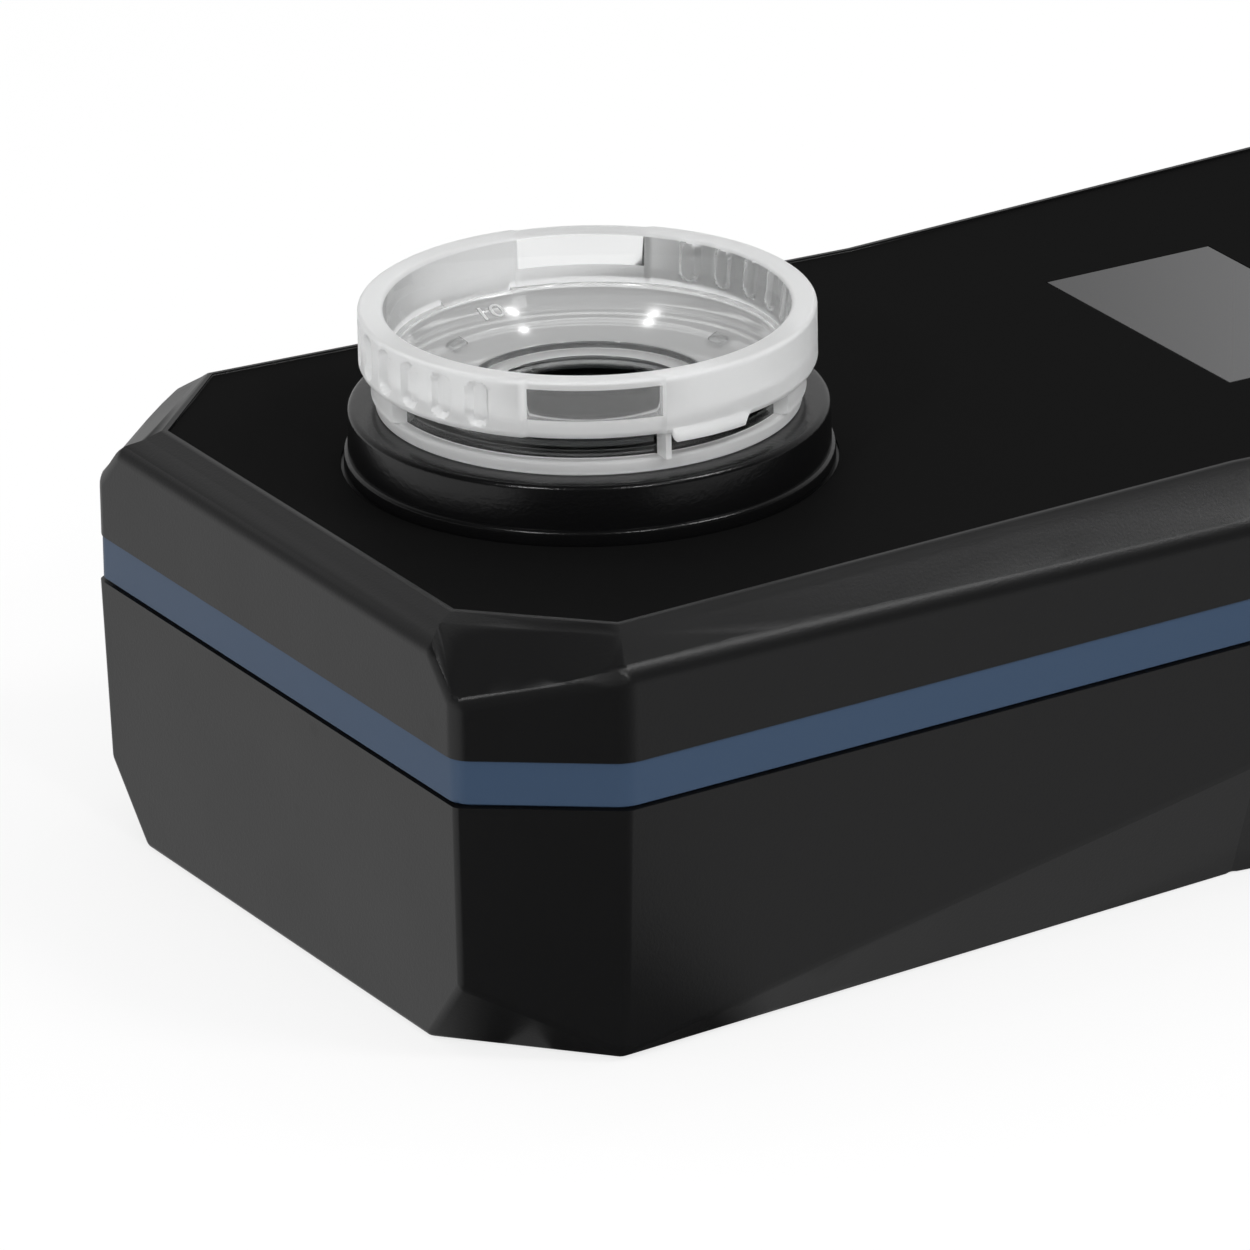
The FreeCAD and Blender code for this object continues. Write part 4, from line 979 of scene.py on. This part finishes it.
def zone_finish(angle, radius, height, upward):
    """The number of the finish of a face, from where its middle lies and how far it faces up."""
    in_window = abs(angle_from(angle, WINDOW_MIDDLE)) < WINDOW_HALF - 0.5
    in_window = in_window and WINDOW_LOW < height < WINDOW_HIGH
    outer_wall = radius > RIM_INNER + 1.0 and height > SKIRT_LOW - PAD_DROP - 0.2
    rim_top = radius > RIM_INNER - 0.1 and height > CUP_RIM - 0.4
    on_flange = radius > FLANGE - 0.95 and -0.1 < height < FLANGE_TOP + 0.2
    skirt_foot = SKIRT_LOW - PAD_DROP - 0.2
    under_skirt = radius > GROOVE_BED + 0.2 and skirt_foot < height < SKIRT_LOW + 0.1
    groove = FLANGE_TOP < height < SKIRT_LOW + 0.05 and radius > GROOVE_BED - 0.2
    on_floor = upward > 0.5 and WELL_RADIUS < radius < FLOOR_FOOT[0] and height > LEDGE - 0.1
    mouth_wall = abs(radius - WELL_MOUTH[0]) < 0.3 and LEDGE + 0.1 < height < WELL_MOUTH[1]
    bore = WELL_RADIUS - 0.3 < radius < WELL_RADIUS + 0.05 and height < LEDGE
    if outer_wall and in_window:
        return WINDOWED
    if outer_wall or rim_top or on_flange or under_skirt:
        return FROSTED
    # Painted shade on the walls of the well's mouth and its bore.
    if mouth_wall or bore:
        return PAINTED_SHADE
    if groove:
        # Painted shade in the open part of the groove.
        open_side = abs(angle_from(angle, OPEN_MIDDLE)) < OPEN_HALF and radius < GROOVE_BED + 0.2
        return PAINTED_SHADE if open_side else FROSTED
    return HAZED if on_floor else 0


def set_zone_finishes(bm):
    counts = [0] * (len(ZONE_FINISHES) + 1)
    for face in bm.faces:
        middle = face.calc_center_median() - CUP_CENTRE
        angle = math.degrees(math.atan2(middle.y, middle.x))
        height = (middle.z - CUP_FOOT) / MM
        face.material_index = zone_finish(angle, middle.to_2d().length / MM, height, face.normal.z)
        counts[face.material_index] += 1
    return counts


def make_cuvette():
    bm = turned(cup_section(), CUP_FOOT, CUP_STEPS, closed=False)
    shape_grip(bm)
    bmesh.ops.recalc_face_normals(bm, faces=bm.faces)
    bm.normal_update()
    print("cuvette faces by finish", set_zone_finishes(bm))
    piece = new_piece(bm, "cuvette_clear", "cuvette", "clear_plastic", ["cuvette"])
    for name in ZONE_FINISHES:
        piece.data.materials.append(FINISHES[name])
    return piece


make_cuvette()

# %% [markdown]
# Four small lugs stand on the bowl's floor, and a raised number gives the volume up to the mouth.
# Both are set on the slope of the floor: a matrix turns them to their angle and tilts them.

# %% Lugs and volume mark
LUG_ANGLES = (29, 91, 209, 271)
LUG_RADIUS = 14.9
LUG_SIZE = Vector((1.3, 2.3, 1.0))
MARK_ANGLE = 4
MARK_RADIUS = 16.9
MARK_SIZE = 2.6
MARK_STRETCH = 1.3
MARK_RAISE = 0.16
FLOOR_SLOPE = math.atan2(FLOOR_FOOT[1] - WELL_MOUTH[1], FLOOR_FOOT[0] - WELL_MOUTH[0])


def floor_place(angle, radius):
    """The place and turn of a piece on the bowl's floor: its X points outwards, up the slope."""
    height = WELL_MOUTH[1] + (radius - WELL_MOUTH[0]) * math.tan(FLOOR_SLOPE)
    return (Matrix.Translation(CUP_CENTRE + Vector((0, 0, CUP_FOOT)))
            @ Matrix.Rotation(math.radians(angle), 4, "Z")
            @ Matrix.Translation(Vector((radius, 0, height)) * MM)
            @ Matrix.Rotation(-FLOOR_SLOPE, 4, "Y"))


def make_lugs():
    bm = bmesh.new()
    for angle in LUG_ANGLES:
        made = bmesh.ops.create_cube(bm, size=MM)["verts"]
        bmesh.ops.scale(bm, vec=LUG_SIZE, verts=made)
        bmesh.ops.transform(bm, matrix=floor_place(angle, LUG_RADIUS), verts=made)
    bmesh.ops.bevel(bm, geom=bm.edges[:], offset=0.2 * MM, offset_type="OFFSET", segments=3,
                    profile=0.5, affect="EDGES", clamp_overlap=True, material=-1)
    return new_piece(bm, "cuvette_lugs", "cuvette", "clear_plastic")


def flat_text(words, size, raise_by):
    """A raised text as a mesh, centred on its own origin."""
    curve = bpy.data.curves.new("text", "FONT")
    curve.body = words
    curve.size = size * MM
    curve.extrude = raise_by * MM
    curve.align_x = "CENTER"
    curve.align_y = "CENTER"
    curve.resolution_u = 4
    text = bpy.data.objects.new("text", curve)
    mesh = bpy.data.meshes.new_from_object(text)
    bm = bmesh.new()
    bm.from_mesh(mesh)
    bpy.data.objects.remove(text)
    bpy.data.curves.remove(curve)
    bpy.data.meshes.remove(mesh)
    return bm


def make_volume_mark():
    bm = flat_text("10", MARK_SIZE, MARK_RAISE)
    bmesh.ops.scale(bm, vec=(MARK_STRETCH, 1, 1), verts=bm.verts)
    bmesh.ops.rotate(bm, cent=(0, 0, 0), matrix=Matrix.Rotation(math.radians(-90), 3, "Z"),
                     verts=bm.verts)
    bmesh.ops.transform(bm, matrix=floor_place(MARK_ANGLE, MARK_RADIUS), verts=bm.verts)
    bmesh.ops.remove_doubles(bm, verts=bm.verts, dist=0.001 * MM)
    return new_piece(bm, "volume_mark", "cuvette", "clear_plastic",
                     material=FINISHES["frosted_plastic"])


make_lugs()
make_volume_mark()
print("lugs", len(LUG_ANGLES), "floor slope", round(math.degrees(FLOOR_SLOPE), 1))

# %% [markdown]
# The six keys are soft rubber caps. Their top edges are rounded, and each has a plain symbol
# printed on it: a thin flat piece that rides on the key, so that it moves with it.

# %% Keys
KEY_ROUND = 0.35
PRINT_HIGH = 0.03
KEY_NAMES = [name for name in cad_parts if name.startswith("key_") and name != "key_mat"]


def key_body(node):
    """The moving body of a key is named the other way round than its node."""
    return node.removeprefix("key_") + "_key"


def make_key(node):
    bm = copy_of(node)
    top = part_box(node)[1].z
    rim = [e for e in bm.edges if len(e.link_faces) == 2 and e.calc_face_angle() > CREASE_ANGLE
           and min(v.co.z for v in e.verts) > top - 0.02 * MM]
    bmesh.ops.bevel(bm, geom=rim, offset=KEY_ROUND * MM, offset_type="OFFSET", segments=4,
                    profile=0.5, affect="EDGES", clamp_overlap=True, material=-1)
    return new_piece(bm, node + "_cap", key_body(node), "key_rubber", [node])


def flat_shape(points):
    """A closed outline in mm, as a thin plate."""
    bm = bmesh.new()
    face = bm.faces.new([bm.verts.new((x * MM, y * MM, 0)) for x, y in points])
    made = bmesh.ops.extrude_face_region(bm, geom=[face])["geom"]
    bmesh.ops.translate(bm, vec=(0, 0, PRINT_HIGH * MM), verts=points_of(made))
    bmesh.ops.recalc_face_normals(bm, faces=bm.faces)
    return bm


def bar(width, height, x=0.0, y=0.0):
    return [(x - width / 2, y - height / 2), (x + width / 2, y - height / 2),
            (x + width / 2, y + height / 2), (x - width / 2, y + height / 2)]


def arrow(turn):
    corners = [math.radians(turn + step * 120) for step in range(3)]
    return [(1.5 * math.cos(a), 1.5 * math.sin(a)) for a in corners]


def arc(start, end, inner, outer, steps=24):
    angles = [math.radians(start + (end - start) * i / steps) for i in range(steps + 1)]
    out = [(outer * math.cos(a), outer * math.sin(a)) for a in angles]
    back = [(inner * math.cos(a), inner * math.sin(a)) for a in reversed(angles)]
    return out + back


SYMBOLS = {
    "key_power": [arc(125, 415, 1.15, 1.5), bar(0.35, 1.6, 0, 0.9)],
    "key_up": [arrow(90)],
    "key_down": [arrow(-90)],
    "key_menu": [bar(2.6, 0.35, 0, step * 0.9) for step in (-1, 0, 1)],
    "key_zero": [[(0.72 * x, y) for x, y in arc(-89, 269, 1.1, 1.5)]],
    "key_test": [arrow(0)],
}


def make_symbol(node):
    low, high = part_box(node)
    whole = bmesh.new()
    for outline in SYMBOLS[node]:
        pour_into(whole, flat_shape(outline))
    place = Vector(((low.x + high.x) / 2, (low.y + high.y) / 2, high.z - 0.01 * MM))
    bmesh.ops.translate(whole, vec=place, verts=whole.verts)
    return new_piece(whole, node + "_print", key_body(node), "key_rubber", material=SYMBOL_PRINT)


for name in KEY_NAMES:
    make_key(name)
    make_symbol(name)
    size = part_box(name)[1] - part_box(name)[0]
    print(name, [round(v / MM, 1) for v in size])

# %% [markdown]
# The other nodes already have the right shape, so they keep their own mesh and only get their
# finish. The table below names the finish of each node.

# %% Finishes on the nodes
NODE_FINISHES = {
    "trim_band": "blue_band",
    "front_label": "label_film", "display_window": "window",
    "lcd_panel": "display_glass", "backlight": "white_diffuser", "contact_strip": "grey_rubber",
    "lcd_bezel": "black_plastic", "key_mat": "grey_rubber", "main_board": "circuit_board",
    "board_chips": "chip", "collar_gasket": "seal_rubber", "collar_nut": "black_plastic",
    "cuvette_seal": "seal_rubber", "optics_block": "black_plastic", "led_board": "circuit_board",
    "leds": "clear_plastic", "detector_board": "circuit_board", "photodiodes": "chip",
    "aaa_cell_left": "cell_jacket", "aaa_cell_middle": "cell_jacket",
    "aaa_cell_right": "cell_jacket", "battery_contacts": "spring_metal",
    "battery_springs": "spring_metal", "battery_cover": "black_plastic",
    "cover_seal": "seal_rubber", "housing_screws": "screw_steel", "board_screws": "screw_steel",
    "optics_screws": "screw_steel", "cover_screws": "screw_steel",
    "upper_shell": "black_plastic", "lower_shell": "black_plastic", "collar_ring": "gloss_black",
    "cuvette": "clear_plastic",
}
for name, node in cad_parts.items():
    slot = NODE_FINISHES.get(name, "key_rubber")
    node.data.materials.clear()
    node.data.materials.append(FINISHES[slot])
print("nodes finished", len(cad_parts))
